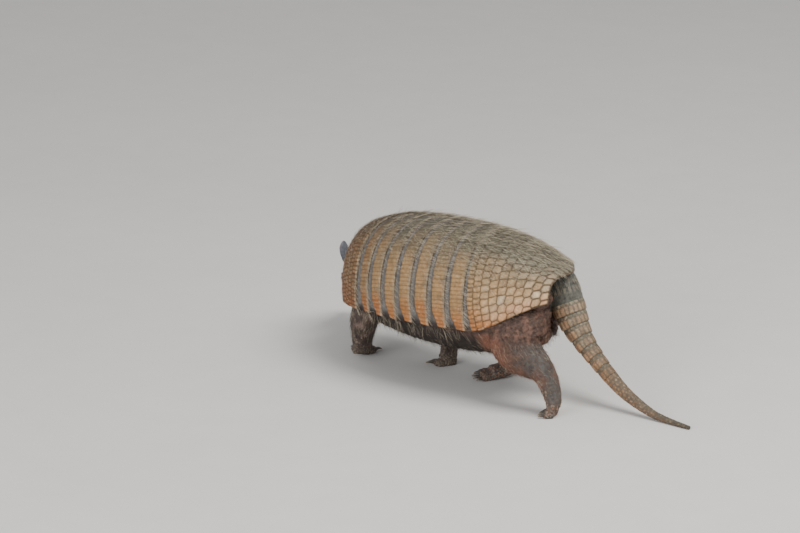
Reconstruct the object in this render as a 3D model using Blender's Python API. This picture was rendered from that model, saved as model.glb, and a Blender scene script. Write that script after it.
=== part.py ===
"""Six-banded armadillo, walking, at life size: bony plates, flesh, claws and tail as separate solids.

Frame: metres, +Z up, the head towards -X, the animal's left side towards -Y, the origin on the floor
under the middle of the whole model. The body follows a spine that bends to the animal's right. A
place on the body is given by its station (metres along the shell, backwards from its front rim),
its lateral distance (to the animal's left) and its height over the floor.
"""

import math

import bmesh
import bpy
from mathutils import Vector

# ---------------------------------------------------------------- driving dimensions, metres
MIDDLE_STATION = 0.165           # the station that stands over MIDDLE_PLACE
MIDDLE_PLACE = (-0.0261, -0.0211)
MARGIN_HEIGHT = 0.0895           # height of the shell's lower margin there
BEND = 3.04                      # turn of the spine to the right, radians per metre forwards
MIDDLE_PITCH = math.radians(4.3)
PITCH_CHANGE = math.radians(-29.5)
SPINE_STEPS = 12

GAP = 0.0003                     # between solids that touch
PLATE = 0.0040                   # thickness of the shell
TRUNK_DEPTH = 0.0047             # of the flesh under the shell's outer face
BAND_COUNT = 7
BAND_PITCH = 0.0212
BAND_LENGTH = 0.0160             # of the bare part of a movable band
BAND_STEP = 0.0012               # how much lower a band's front edge lies than its rear edge
BAND_CORNER = 0.0060             # how far a band's front corner is cut back at its lower end
SHOULDER_LENGTH = 0.0660
PELVIC_START = SHOULDER_LENGTH + 0.0056 + BAND_COUNT * BAND_PITCH
PELVIC_SIDE_END = 0.299
PELVIC_TOP_END = 0.316
MARGIN_RISE_START = 0.222        # from here the pelvic margin climbs over the thigh
MARGIN_RISE_END = 0.300
MARGIN_RISE = math.radians(27.0)

SECTION_POWER = 2.4              # 2 is an ellipse, more is squarer
# station, half width and height over the margin of the shell's section
SECTIONS = (
    (0.000, 0.0555, 0.088),
    (0.030, 0.0685, 0.100),
    (0.065, 0.0755, 0.108),
    (0.140, 0.0795, 0.112),
    (0.210, 0.0800, 0.107),
    (0.260, 0.0775, 0.095),
    (0.300, 0.0650, 0.076),
    (0.325, 0.0460, 0.062),
)
# station and depth of the belly under the margin
BELLY = (
    (-0.020, 0.006),
    (0.030, 0.018),
    (0.080, 0.027),
    (0.130, 0.036),
    (0.200, 0.041),
    (0.270, 0.036),
    (0.340, 0.020),
)
BELLY_INSET = 0.0085             # of the belly's side inside the shell's margin
TRUNK_FRONT = -0.010
TRUNK_FRONT_ROUND = 0.042        # length over which the trunk's ends round off
TRUNK_REAR = 0.290
TRUNK_REAR_ROUND = 0.034

ARCH_COLUMNS = 16                # faces across the back
BELLY_COLUMNS = 8

HEAD_STATION = -0.045            # the back of the skull, ahead of the shell's rim
HEAD_HEIGHT = 0.089
HEAD_TURN = math.radians(35.0)   # to the animal's right of -X
HEAD_DROP = math.radians(33.0)   # of the muzzle under the horizontal
HEAD_POWER = 2.3
# distance ahead of the back of the skull, half width, top and bottom of the head's section
HEAD = (
    (-0.014, 0.0150, 0.0100, 0.0130),
    (-0.009, 0.0225, 0.0150, 0.0190),
    (0.002, 0.0290, 0.0190, 0.0240),
    (0.016, 0.0325, 0.0210, 0.0270),
    (0.032, 0.0335, 0.0205, 0.0265),
    (0.047, 0.0295, 0.0185, 0.0230),
    (0.062, 0.0225, 0.0155, 0.0185),
    (0.078, 0.0160, 0.0120, 0.0140),
    (0.094, 0.0118, 0.0092, 0.0105),
    (0.103, 0.0098, 0.0078, 0.0085),
    (0.108, 0.0062, 0.0050, 0.0055),
)
HEAD_SIDES = 20
HEAD_PLATE = 0.0018
HEAD_PLATE_START = 0.002
HEAD_PLATE_EAR_ROOM = 0.012      # how far its rear edge lies ahead at the ears
HEAD_PLATE_END = 0.088
EAR_LENGTH = 0.033
EAR_WIDTH = 0.0105               # half of the widest part
EAR_THICKNESS = 0.0016
EAR_PLACE = (0.0020, 0.0265, 0.0085)   # of its root: ahead, to the side and up in the head's frame
EYE_RADIUS = 0.0042
EYE_PLACE = (0.0490, 0.0255, 0.0070)

CLAW_SIDES = 5
CLAW_ROWS = 3
TOE_SPREAD = (-2, -1, 0, 1, 2)
LIMB_SIDES = 10
TOE_SIDES = 6

# station, lateral, height, half width across the body and half depth along it
LEG_HIND_LEFT = (
    (0.258, 0.030, 0.108, 0.024, 0.034),
    (0.264, 0.050, 0.098, 0.026, 0.038),
    (0.271, 0.063, 0.075, 0.020, 0.032),
    (0.296, 0.067, 0.052, 0.0155, 0.0165),
    (0.305, 0.071, 0.034, 0.0145, 0.0125),
    (0.309, 0.074, 0.018, 0.0145, 0.0100),
    (0.308, 0.075, 0.008, 0.0130, 0.0075),
)
LEG_HIND_RIGHT = (
    (0.262, -0.030, 0.108, 0.024, 0.034),
    (0.252, -0.052, 0.092, 0.026, 0.034),
    (0.226, -0.062, 0.066, 0.018, 0.023),
    (0.217, -0.056, 0.036, 0.0130, 0.0145),
    (0.213, -0.050, 0.019, 0.0135, 0.0135),
    (0.202, -0.038, 0.0095, 0.0145, 0.0100),
    (0.192, -0.028, 0.0080, 0.0150, 0.0085),
)
LEG_FRONT_LEFT = (
    (0.046, 0.030, 0.092, 0.020, 0.026),
    (0.046, 0.045, 0.066, 0.020, 0.027),
    (0.043, 0.048, 0.050, 0.0175, 0.0220),
    (0.038, 0.047, 0.032, 0.0140, 0.0160),
    (0.027, 0.041, 0.017, 0.0125, 0.0115),
    (0.016, 0.035, 0.0085, 0.0135, 0.0090),
)
LEG_FRONT_RIGHT = (
    (0.060, -0.030, 0.094, 0.020, 0.026),
    (0.083, -0.046, 0.066, 0.019, 0.022),
    (0.096, -0.045, 0.045, 0.0145, 0.0155),
    (0.104, -0.038, 0.027, 0.0115, 0.0110),
    (0.111, -0.032, 0.014, 0.0120, 0.0090),
    (0.112, -0.028, 0.008, 0.0125, 0.0080),
)
# heading of the toes from -X towards +Y, toe length, toe radius, claw length, claw radius
FEET = {
    "hind_left": (math.radians(-20.0), 0.0040, 0.0046, 0.0085, 0.0032),
    "hind_right": (math.radians(-38.0), 0.0110, 0.0048, 0.0095, 0.0033),
    "front_left": (math.radians(62.0), 0.0080, 0.0045, 0.0145, 0.0034),
    "front_right": (math.radians(22.0), 0.0050, 0.0045, 0.0135, 0.0034),
}
TOE_FAN = math.radians(13.0)
TOE_STEP = 0.0058                # between neighbouring toes at the ball of the foot

# along the tail from its root: distance ahead of MIDDLE_PLACE's x and y, height and radius
TAIL = (
    (0.1200, 0.0360, 0.1470, 0.0200),
    (0.1277, 0.0360, 0.1336, 0.0212),
    (0.1342, 0.0357, 0.1174, 0.0213),
    (0.1472, 0.0350, 0.0925, 0.0178),
    (0.1560, 0.0346, 0.0806, 0.0150),
    (0.1664, 0.0341, 0.0690, 0.0126),
    (0.1909, 0.0328, 0.0480, 0.0100),
    (0.2247, 0.0311, 0.0242, 0.0078),
    (0.2619, 0.0292, 0.0089, 0.0054),
    (0.2879, 0.0279, 0.0042, 0.0040),
    (0.3250, 0.0261, 0.0024, 0.0023),
)
TAIL_SIDES = 12
TAIL_BASE_LENGTH = 0.033         # from the root to the first ring
TAIL_RING_COUNT = 7
TAIL_RING_PITCH = 0.0154
TAIL_RING_STEP = 0.0010          # how far a ring's rear edge stands out
TAIL_MIDDLE_LENGTH = 0.055

FLOOR_CUTTER = 0.8

# material name: base colour, roughness
FINISHES = {
    "shell_plate": ((0.46, 0.30, 0.15), 0.55),
    "head_plate": ((0.40, 0.26, 0.14), 0.55),
    "tail_plate": ((0.43, 0.30, 0.20), 0.60),
    "skin": ((0.20, 0.15, 0.13), 0.70),
    "ear_skin": ((0.22, 0.21, 0.22), 0.70),
    "claw": ((0.12, 0.09, 0.07), 0.40),
    "eye": ((0.02, 0.015, 0.012), 0.10),
}


# ---------------------------------------------------------------- the body's own frame
def between(rows, where, column):
    """One column of rows at a station, on a smooth curve through the rows."""
    last = len(rows) - 1
    low = 0
    while low < last - 1 and where > rows[low + 1][0]:
        low += 1
    high = low + 1
    slopes = []
    for at in (low, high):
        before = rows[max(at - 1, 0)]
        after = rows[min(at + 1, last)]
        slopes.append((after[column] - before[column]) / (after[0] - before[0]))
    span = rows[high][0] - rows[low][0]
    part = min(max((where - rows[low][0]) / span, 0.0), 1.0)
    start = rows[low][column]
    rise = rows[high][column] - start
    bow = part * (1.0 - part)
    lean = slopes[0] * span * (1.0 - part) - slopes[1] * span * part
    return start + rise * part * part * (3.0 - 2.0 * part) + bow * lean


def backward(station):
    """The direction towards the tail."""
    turn = -BEND * (station - MIDDLE_STATION)
    rise = MIDDLE_PITCH + PITCH_CHANGE * (station - MIDDLE_STATION)
    return Vector((math.cos(turn) * math.cos(rise), -math.sin(turn) * math.cos(rise), math.sin(rise)))


def spine(station):
    """The middle of the margin's plane at a station."""
    point = Vector((*MIDDLE_PLACE, MARGIN_HEIGHT))
    step = (station - MIDDLE_STATION) / SPINE_STEPS
    for index in range(SPINE_STEPS):
        point += backward(MIDDLE_STATION + (index + 0.5) * step) * step
    return point


def left_of(direction):
    """The level direction to the left of an animal whose tail points along a direction."""
    return Vector((direction.y, -direction.x, 0.0)).normalized()


def place(station, lateral, height):
    """A place on the body, by its station, lateral distance and height over the floor."""
    point = spine(station) + left_of(backward(station)) * lateral
    point.z = height
    return point


def power_curve(angle, width, height, power):
    """A point of a squared ellipse: across and up."""
    across = math.copysign(abs(math.cos(angle)) ** (2.0 / power), math.cos(angle))
    up = math.copysign(abs(math.sin(angle)) ** (2.0 / power), math.sin(angle))
    return width * across, height * up


def section_point(station, angle, depth, inset=0.0):
    """A point of the body's section: the arch of the back over the margin, the belly under it."""
    width = between(SECTIONS, station, 1) - depth
    height = between(SECTIONS, station, 2) - depth
    if math.sin(angle) < 0.0:
        width -= inset
        height = between(BELLY, station, 1) - depth + TRUNK_DEPTH
    across, up = power_curve(angle, width, height, SECTION_POWER)
    tailward = backward(station)
    left = left_of(tailward)
    return spine(station) + left * across + left.cross(tailward) * up


def margin_angle(station):
    """The angle over the margin's plane at which the shell's edge lies."""
    part = (station - MARGIN_RISE_START) / (MARGIN_RISE_END - MARGIN_RISE_START)
    part = min(max(part, 0.0), 1.0)
    return MARGIN_RISE * part * part * (1.6 - 0.6 * part)


def arch_angle(station, column):
    """The angle of one column of the shell's faces, from the left edge to the right edge."""
    edge = margin_angle(station)
    return edge + (math.pi - 2.0 * edge) * column / ARCH_COLUMNS


# ---------------------------------------------------------------- meshes
def material(name):
    found = bpy.data.materials.get(name)
    if found:
        return found
    colour, roughness = FINISHES[name]
    made = bpy.data.materials.new(name)
    made.use_nodes = True
    shader = made.node_tree.nodes["Principled BSDF"]
    shader.inputs["Base Color"].default_value = (*colour, 1.0)
    shader.inputs["Roughness"].default_value = roughness
    return made


def new_object(name, mesh_builder, collection, finish=None):
    """An object from a bmesh, smooth, with its faces turned out."""
    bmesh.ops.recalc_face_normals(mesh_builder, faces=mesh_builder.faces)
    mesh = bpy.data.meshes.new(name)
    mesh_builder.to_mesh(mesh)
    mesh_builder.free()
    mesh.shade_smooth()
    made = bpy.data.objects.new(name, mesh)
    collection.objects.link(made)
    if finish:
        mesh.materials.append(material(finish))
        mesh.set_sharp_from_angle(angle=math.radians(50.0))
    else:
        made.hide_render = True
        made.display_type = "WIRE"
    return made


def loft(rings):
    """A closed body through rings of points, with flat ends."""
    builder = bmesh.new()
    rows = [[builder.verts.new(point) for point in ring] for ring in rings]
    count = len(rows[0])
    for near, far in zip(rows, rows[1:]):
        for index in range(count):
            after = (index + 1) % count
            builder.faces.new((near[index], near[after], far[after]))
            builder.faces.new((near[index], far[after], far[index]))
    builder.faces.new(rows[0])
    builder.faces.new(rows[-1])
    return builder


def slab(outer, inner):
    """A closed body between two sheets of points, rows of equal length."""
    builder = bmesh.new()
    sheets = [[[builder.verts.new(point) for point in row] for row in sheet] for sheet in (outer, inner)]
    for sheet in sheets:
        for near, far in zip(sheet, sheet[1:]):
            for index in range(len(near) - 1):
                builder.faces.new((near[index], near[index + 1], far[index + 1]))
                builder.faces.new((near[index], far[index + 1], far[index]))
    rims = []
    for sheet in sheets:
        down = [row[-1] for row in sheet[1:-1]]
        up = [row[0] for row in reversed(sheet[1:-1])]
        rims.append(sheet[0] + down + list(reversed(sheet[-1])) + up)
    count = len(rims[0])
    for index in range(count):
        after = (index + 1) % count
        builder.faces.new((rims[0][index], rims[0][after], rims[1][after], rims[1][index]))
    return builder


def take_away(target, cutter):
    modifier = target.modifiers.new(cutter.name, "BOOLEAN")
    modifier.operation = "DIFFERENCE"
    modifier.solver = "EXACT"
    modifier.object = cutter


def unite(target, tool):
    modifier = target.modifiers.new(tool.name, "BOOLEAN")
    modifier.operation = "UNION"
    modifier.solver = "EXACT"
    modifier.object = tool


# ---------------------------------------------------------------- the shell
def plate_sheet(depth, starts, ends, rows, front_depth=0.0):
    """Rows of points of a plate, starts and ends giving each column's first and last station."""
    sheet = []
    for row in range(rows + 1):
        part = row / rows
        points = []
        for column in range(ARCH_COLUMNS + 1):
            station = starts(column) + (ends(column) - starts(column)) * part
            angle = arch_angle(station, column)
            points.append(section_point(station, angle, depth + front_depth * (1.0 - part)))
        sheet.append(points)
    return sheet


def edge_share(column, reach):
    """1 at the shell's left and right edge, falling to 0 within some columns of it."""
    from_edge = min(column, ARCH_COLUMNS - column)
    return max(0.0, 1.0 - from_edge / reach) ** 2


def top_share(column):
    """0 at the shell's edges and 1 on the middle of the back."""
    return math.sin(math.pi * column / ARCH_COLUMNS) ** 2


def build_shoulder_shield(parts):
    def starts(column):
        return 0.006 * top_share(column) - 0.002

    def ends(column):
        return SHOULDER_LENGTH

    outer = plate_sheet(0.0, starts, ends, 4, front_depth=BAND_STEP)
    inner = plate_sheet(PLATE, starts, ends, 4)
    new_object("shell_shoulder", slab(outer, inner), parts, "shell_plate")


def build_bands(parts):
    for number in range(1, BAND_COUNT + 1):
        first = SHOULDER_LENGTH + 0.0054 + (number - 1) * BAND_PITCH

        def starts(column, first=first):
            return first + BAND_CORNER * edge_share(column, 2.0)

        def ends(column, first=first):
            return first + BAND_LENGTH + 0.5 * BAND_CORNER * edge_share(column, 2.0)

        outer = plate_sheet(0.0, starts, ends, 1, front_depth=BAND_STEP)
        inner = plate_sheet(PLATE, starts, ends, 1)
        new_object(f"shell_band_{number}", slab(outer, inner), parts, "shell_plate")


def build_pelvic_shield(parts):
    def starts(column):
        return PELVIC_START + BAND_CORNER * edge_share(column, 2.0)

    def ends(column):
        return PELVIC_SIDE_END + (PELVIC_TOP_END - PELVIC_SIDE_END) * top_share(column) ** 2

    outer = plate_sheet(0.0, starts, ends, 7, front_depth=BAND_STEP)
    inner = plate_sheet(PLATE, starts, ends, 7)
    new_object("shell_pelvic", slab(outer, inner), parts, "shell_plate")


# ---------------------------------------------------------------- the trunk
def fullness(station):
    """The trunk's size at a station as a share of its full section, rounding off at both ends."""
    front = (TRUNK_FRONT + TRUNK_FRONT_ROUND - station) / TRUNK_FRONT_ROUND
    rear = (station - TRUNK_REAR + TRUNK_REAR_ROUND) / TRUNK_REAR_ROUND
    past = max(front, rear, 0.0)
    return math.sqrt(max(1.0 - past * past, 0.0))


def trunk_ring(station, depth_over, depth_under):
    """One section of the trunk, its upper part in the shell's own columns."""
    edge = margin_angle(station)
    ring = []
    for column in range(ARCH_COLUMNS + 1):
        ring.append(section_point(station, arch_angle(station, column), depth_over, BELLY_INSET))
    for column in range(1, BELLY_COLUMNS):
        angle = math.pi - edge + (math.pi + 2.0 * edge) * column / BELLY_COLUMNS
        ring.append(section_point(station, angle, depth_under, BELLY_INSET))
    tailward = backward(station)
    up = left_of(tailward).cross(tailward)
    centre = spine(station) + up * (0.45 * between(SECTIONS, station, 2))
    share = fullness(station)
    return [centre + (point - centre) * share for point in ring]


def trunk_body(depth_over, depth_under):
    """The trunk, or the room that it takes with the shell over it."""
    ends = (0.025, 0.10, 0.24, 0.45, 0.72)
    stations = [TRUNK_FRONT + TRUNK_FRONT_ROUND * share for share in ends]
    first = TRUNK_FRONT + TRUNK_FRONT_ROUND
    last = TRUNK_REAR - TRUNK_REAR_ROUND
    count = 12
    stations += [first + (last - first) * index / count for index in range(count + 1)]
    stations += [TRUNK_REAR - TRUNK_REAR_ROUND * share for share in reversed(ends)]
    return loft([trunk_ring(station, depth_over, depth_under) for station in stations])


# ---------------------------------------------------------------- tubes
def smooth_path(rows, steps):
    """Rows of numbers on a smooth curve through the given rows, steps to each stretch."""
    numbered = [(float(index), *row) for index, row in enumerate(rows)]
    width = len(rows[0])
    total = (len(rows) - 1) * steps
    return [[between(numbered, index / steps, column + 1) for column in range(width)]
            for index in range(total + 1)]


def tube(path, side, sides, power=2.0):
    """A loft along rows of x, y, z, half width along a side direction and half depth."""
    rings = []
    for index, row in enumerate(path):
        before = Vector(path[max(index - 1, 0)][:3])
        after = Vector(path[min(index + 1, len(path) - 1)][:3])
        along = (after - before).normalized()
        across = (side - along * side.dot(along)).normalized()
        over = along.cross(across)
        centre = Vector(row[:3])
        ring = []
        for step in range(sides):
            angle = 2.0 * math.pi * (step + 0.5) / sides
            wide, deep = power_curve(angle, row[3], row[4], power)
            ring.append(centre + across * wide + over * deep)
        rings.append(ring)
    return loft(rings)


# ---------------------------------------------------------------- head and neck
def head_axes():
    """Forwards, left and up in the head's frame, and the back of the skull."""
    level = Vector((-math.cos(HEAD_TURN), math.sin(HEAD_TURN), 0.0))
    forward = level * math.cos(HEAD_DROP) - Vector((0.0, 0.0, math.sin(HEAD_DROP)))
    left = left_of(-level)
    up = forward.cross(left)
    return forward, left, up, place(HEAD_STATION, 0.0, HEAD_HEIGHT)


def head_place(ahead, aside, over):
    forward, left, up, origin = head_axes()
    return origin + forward * ahead + left * aside + up * over


def head_point(ahead, angle, grow):
    """A point of the head's surface."""
    width = between(HEAD, ahead, 1) + grow
    height = between(HEAD, ahead, 2 if math.sin(angle) >= 0.0 else 3) + grow
    across, up = power_curve(angle, width, height, HEAD_POWER)
    return head_place(ahead, across, up)


def head_body(grow):
    rings = []
    for row in HEAD:
        rings.append([head_point(row[0], 2.0 * math.pi * step / HEAD_SIDES, grow)
                      for step in range(HEAD_SIDES)])
    return loft(rings)


def head_plate_angle(ahead):
    """The angle of the head shield's edge, low at the cheeks and high on the muzzle."""
    part = ahead / HEAD_PLATE_END
    return math.radians(40.0 + 22.0 * part * part)


def head_plate():
    """The shield on top of the head."""
    rows = 6
    columns = 8
    sheets = []
    for grow in (GAP + HEAD_PLATE + 0.0002, GAP + 0.0004):
        sheet = []
        for row in range(rows + 1):
            points = []
            for column in range(columns + 1):
                across = column / columns
                rear = HEAD_PLATE_START + HEAD_PLATE_EAR_ROOM * (2.0 * across - 1.0) ** 2
                front = HEAD_PLATE_END - 0.010 * (1.0 - math.sin(math.pi * across))
                ahead = rear + (front - rear) * row / rows
                edge = head_plate_angle(ahead)
                points.append(head_point(ahead, edge + (math.pi - 2.0 * edge) * across, grow))
            sheet.append(points)
        sheets.append(sheet)
    return slab(*sheets)


def ear(sign):
    """A cupped leaf, standing up and out from the side of the head."""
    rows = 7
    columns = 4
    forward, left, up, origin = head_axes()
    outward = left * sign
    along = (up * 0.80 + outward * 0.34 - forward * 0.46).normalized()
    facing = forward * 0.80 + outward * 0.50
    facing = (facing - along * facing.dot(along)).normalized()
    across = along.cross(facing)
    root = head_place(EAR_PLACE[0], sign * EAR_PLACE[1], EAR_PLACE[2])
    sheets = []
    for depth in (0.0, EAR_THICKNESS):
        sheet = []
        for row in range(rows + 1):
            part = row / rows
            swell = math.sin(math.pi * (0.18 + 0.80 * part)) ** 0.75
            width = EAR_WIDTH * swell
            cup = 0.0050 * (1.0 - 0.6 * part)
            points = []
            for column in range(columns + 1):
                aside = 2.0 * column / columns - 1.0
                point = root + along * (EAR_LENGTH * part) + across * (width * aside)
                point = point + facing * (cup * aside * aside * swell - depth)
                points.append(point)
            sheet.append(points)
        sheets.append(sheet)
    return slab(*sheets)


def ball(radius, centre):
    builder = bmesh.new()
    bmesh.ops.create_uvsphere(builder, u_segments=12, v_segments=8, radius=radius)
    bmesh.ops.translate(builder, vec=centre, verts=builder.verts)
    return builder


def build_head(parts, cutters, trunk_room):
    head = new_object("head", head_body(0.0), parts, "skin")
    head_room = new_object("cut_head_room", head_body(GAP), cutters)
    new_object("head_shield", head_plate(), parts, "head_plate")
    ahead, aside, over = EYE_PLACE
    for side, sign in (("left", 1.0), ("right", -1.0)):
        centre = head_place(ahead, sign * aside, over)
        new_object(f"eye_{side}", ball(EYE_RADIUS, centre), parts, "eye")
        socket = new_object(f"cut_socket_{side}", ball(EYE_RADIUS + GAP, centre), cutters)
        take_away(head, socket)
        made = new_object(f"ear_{side}", ear(sign), parts, "ear_skin")
        take_away(made, head_room)

    start = spine(0.012) + Vector((0.0, 0.0, 0.036))
    middle = spine(-0.014) + Vector((0.0, 0.0, 0.030))
    finish = head_place(0.010, 0.0, -0.003)
    rows = (
        (*start, 0.040, 0.034),
        (*middle, 0.034, 0.029),
        (*finish, 0.024, 0.018),
    )
    side = left_of(backward(-0.02))
    neck = new_object("neck", tube(smooth_path(rows, 2), side, 12, power=2.2), parts, "skin")
    take_away(neck, trunk_room)
    take_away(neck, head_room)


# ---------------------------------------------------------------- legs
def claw(root, along, length, radius):
    """A curved, tapering claw that bends down towards its tip."""
    side = along.cross(Vector((0.0, 0.0, 1.0))).normalized()
    over = side.cross(along).normalized()
    rings = []
    for row in range(CLAW_ROWS + 1):
        part = row / CLAW_ROWS
        droop = length * part * (0.22 * part - 0.10)
        size = radius * (1.0 - 0.85 * part)
        centre = root + along * (length * part) - over * droop
        rings.append([centre + side * (0.8 * size * math.cos(angle)) + over * (size * math.sin(angle))
                      for angle in (2.0 * math.pi * step / CLAW_SIDES for step in range(CLAW_SIDES))])
    return loft(rings)


def build_leg(name, rows, parts, cutters, body_room, floor_cutter):
    """A leg from under the shell to the ball of its foot, with five toes and their claws."""
    heading, toe_length, toe_radius, claw_length, claw_radius = FEET[name]
    path = [(*place(*row[:3]), *row[3:]) for row in rows]
    forward = Vector((-math.cos(heading), math.sin(heading), 0.0))
    side = left_of(-forward)
    leg = new_object(f"leg_{name}", tube(smooth_path(path, 2), side, LIMB_SIDES, 2.2), parts, "skin")
    tip = Vector(path[-1][:3])
    for number, step in enumerate(TOE_SPREAD, start=1):
        turn = step * TOE_FAN
        length = toe_length * (1.0 - 0.07 * step * step)
        level = forward * math.cos(turn) + side * math.sin(turn)
        root = tip + side * (step * TOE_STEP * 0.8) - level * 0.004
        end = root + level * (length + 0.008)
        root.z = 0.95 * toe_radius
        end.z = 0.82 * toe_radius
        along = (end - root).normalized()
        toe_path = [(*root, toe_radius * 0.9, toe_radius * 1.1),
                    (*root.lerp(end, 0.6), toe_radius, toe_radius),
                    (*end, toe_radius * 0.84, toe_radius * 0.84)]
        toe = new_object(f"join_toe_{name}_{number}", tube(toe_path, side, TOE_SIDES), cutters)
        unite(leg, toe)
        claw_size = 1.0 - 0.08 * abs(step - 0.5)
        claw_root = end + along * GAP
        made = claw(claw_root, along, claw_length * claw_size, claw_radius * claw_size)
        new_object(f"claw_{name}_{number}", made, parts, "claw")
    take_away(leg, body_room)
    take_away(leg, floor_cutter)


# ---------------------------------------------------------------- tail
def tail_lengths():
    """The tail's smooth path with each row's distance from the root."""
    shifted = [(row[0] + MIDDLE_PLACE[0], row[1] + MIDDLE_PLACE[1], row[2], row[3]) for row in TAIL]
    path = smooth_path(shifted, 6)
    rows = []
    travelled = 0.0
    last = None
    for x, y, z, radius in path:
        point = Vector((x, y, z))
        if last is not None:
            travelled += (point - last).length
        rows.append((travelled, x, y, z, radius))
        last = point
    return rows


def tail_ring_points(rows, where, swell):
    """A round section of the tail at a distance from its root."""
    centre = Vector([between(rows, where, column) for column in (1, 2, 3)])
    ahead = Vector([between(rows, where + 0.002, column) for column in (1, 2, 3)])
    behind = Vector([between(rows, where - 0.002, column) for column in (1, 2, 3)])
    along = (ahead - behind).normalized()
    side = along.cross(Vector((0.0, 0.0, 1.0))).normalized()
    over = side.cross(along).normalized()
    radius = between(rows, where, 4) + swell
    return [centre + side * (radius * math.cos(angle)) + over * (radius * math.sin(angle))
            for angle in (2.0 * math.pi * (step + 0.5) / TAIL_SIDES for step in range(TAIL_SIDES))]


def build_tail(parts, cutters, trunk, floor_cutter):
    rows = tail_lengths()
    whole = rows[-1][0]
    steps = 5
    base = [tail_ring_points(rows, TAIL_BASE_LENGTH * step / steps, -TAIL_RING_STEP)
            for step in range(steps + 1)]
    new_object("tail_base", loft(base), parts, "skin")
    room_length = TAIL_BASE_LENGTH + TAIL_RING_PITCH
    room = [tail_ring_points(rows, room_length * step / steps - GAP, TAIL_RING_STEP) for step in range(steps + 1)]
    take_away(trunk, new_object("cut_tail_room", loft(room), cutters))
    start = TAIL_BASE_LENGTH
    for number in range(1, TAIL_RING_COUNT + 1):
        end = start + TAIL_RING_PITCH
        sections = [
            (start + GAP, -TAIL_RING_STEP),
            (start + 0.30 * TAIL_RING_PITCH, 0.0),
            (end - 0.15 * TAIL_RING_PITCH, TAIL_RING_STEP * 0.5),
            (end, -TAIL_RING_STEP),
        ]
        ring = [tail_ring_points(rows, where, swell) for where, swell in sections]
        new_object(f"tail_ring_{number}", loft(ring), parts, "tail_plate")
        start = end
    for name, end, steps in (
        ("tail_middle", start + TAIL_MIDDLE_LENGTH, 5),
        ("tail_end", whole, 6),
    ):
        first = start + GAP
        length = [tail_ring_points(rows, first + (end - first) * step / steps, 0.0)
                  for step in range(steps + 1)]
        made = new_object(name, loft(length), parts, "tail_plate")
        take_away(made, floor_cutter)
        start = end


# ---------------------------------------------------------------- the whole animal
def clear_scene():
    for item in list(bpy.context.scene.objects):
        bpy.data.objects.remove(item, do_unlink=True)


def new_collection(name):
    made = bpy.data.collections.new(name)
    bpy.context.scene.collection.children.link(made)
    return made


def main():
    clear_scene()
    parts = new_collection("armadillo")
    cutters = new_collection("cutters")

    build_shoulder_shield(parts)
    build_bands(parts)
    build_pelvic_shield(parts)
    trunk = new_object("trunk", trunk_body(TRUNK_DEPTH, TRUNK_DEPTH), parts, "skin")

    trunk_room = new_object("cut_trunk_room", trunk_body(TRUNK_DEPTH - GAP, TRUNK_DEPTH - GAP), cutters)
    body_room = new_object("cut_body_room", trunk_body(-GAP, TRUNK_DEPTH - GAP), cutters)
    floor = bmesh.new()
    bmesh.ops.create_cube(floor, size=FLOOR_CUTTER)
    bmesh.ops.translate(floor, vec=(0.0, 0.0, -FLOOR_CUTTER / 2.0), verts=floor.verts)
    floor_cutter = new_object("cut_floor", floor, cutters)

    build_head(parts, cutters, trunk_room)
    legs = {
        "hind_left": LEG_HIND_LEFT,
        "hind_right": LEG_HIND_RIGHT,
        "front_left": LEG_FRONT_LEFT,
        "front_right": LEG_FRONT_RIGHT,
    }
    for name, rows in legs.items():
        build_leg(name, rows, parts, cutters, body_room, floor_cutter)
    build_tail(parts, cutters, trunk, floor_cutter)


main()
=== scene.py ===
"""Six-banded armadillo, the looks: shell scutes, one skin, head shield, claws, eyes, tail and bristles.

Frame: metres, +Z up, the head towards -X, the animal's left side towards -Y. A place on the body has a
station (metres backwards along the shell from its front rim), a lateral distance and a height.
"""

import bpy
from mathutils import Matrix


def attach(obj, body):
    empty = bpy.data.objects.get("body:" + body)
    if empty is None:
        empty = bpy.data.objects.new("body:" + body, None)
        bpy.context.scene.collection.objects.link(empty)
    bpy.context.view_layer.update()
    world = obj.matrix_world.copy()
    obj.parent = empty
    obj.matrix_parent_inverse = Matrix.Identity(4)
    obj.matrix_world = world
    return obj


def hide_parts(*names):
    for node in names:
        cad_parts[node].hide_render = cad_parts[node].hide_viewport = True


bl_info = {
    "name": "Banded armadillo",
    "version": (1, 0, 0),
    "blender": (4, 5, 0),
    "location": "View3D > Sidebar > Armadillo",
    "description": "The scutes, skin, head, claws, tail and bristles of a still, walking armadillo",
    "category": "Add Mesh",
}

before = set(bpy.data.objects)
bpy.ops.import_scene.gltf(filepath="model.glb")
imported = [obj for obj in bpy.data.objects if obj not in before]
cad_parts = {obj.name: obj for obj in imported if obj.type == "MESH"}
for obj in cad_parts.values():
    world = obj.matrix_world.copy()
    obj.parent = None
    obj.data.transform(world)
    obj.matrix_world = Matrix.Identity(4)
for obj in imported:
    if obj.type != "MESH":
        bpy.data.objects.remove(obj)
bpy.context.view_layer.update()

import math

import bmesh
import bpy
import numpy as np
from bpy.props import FloatProperty, FloatVectorProperty, IntProperty, PointerProperty
from mathutils import Vector

# ---- sizes shared with the solids, metres
MIDDLE_STATION = 0.165
MIDDLE_PLACE = (-0.0261, -0.0211, 0.0895)
BEND = 3.04
MIDDLE_PITCH = math.radians(4.3)
PITCH_CHANGE = math.radians(-29.5)

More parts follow.
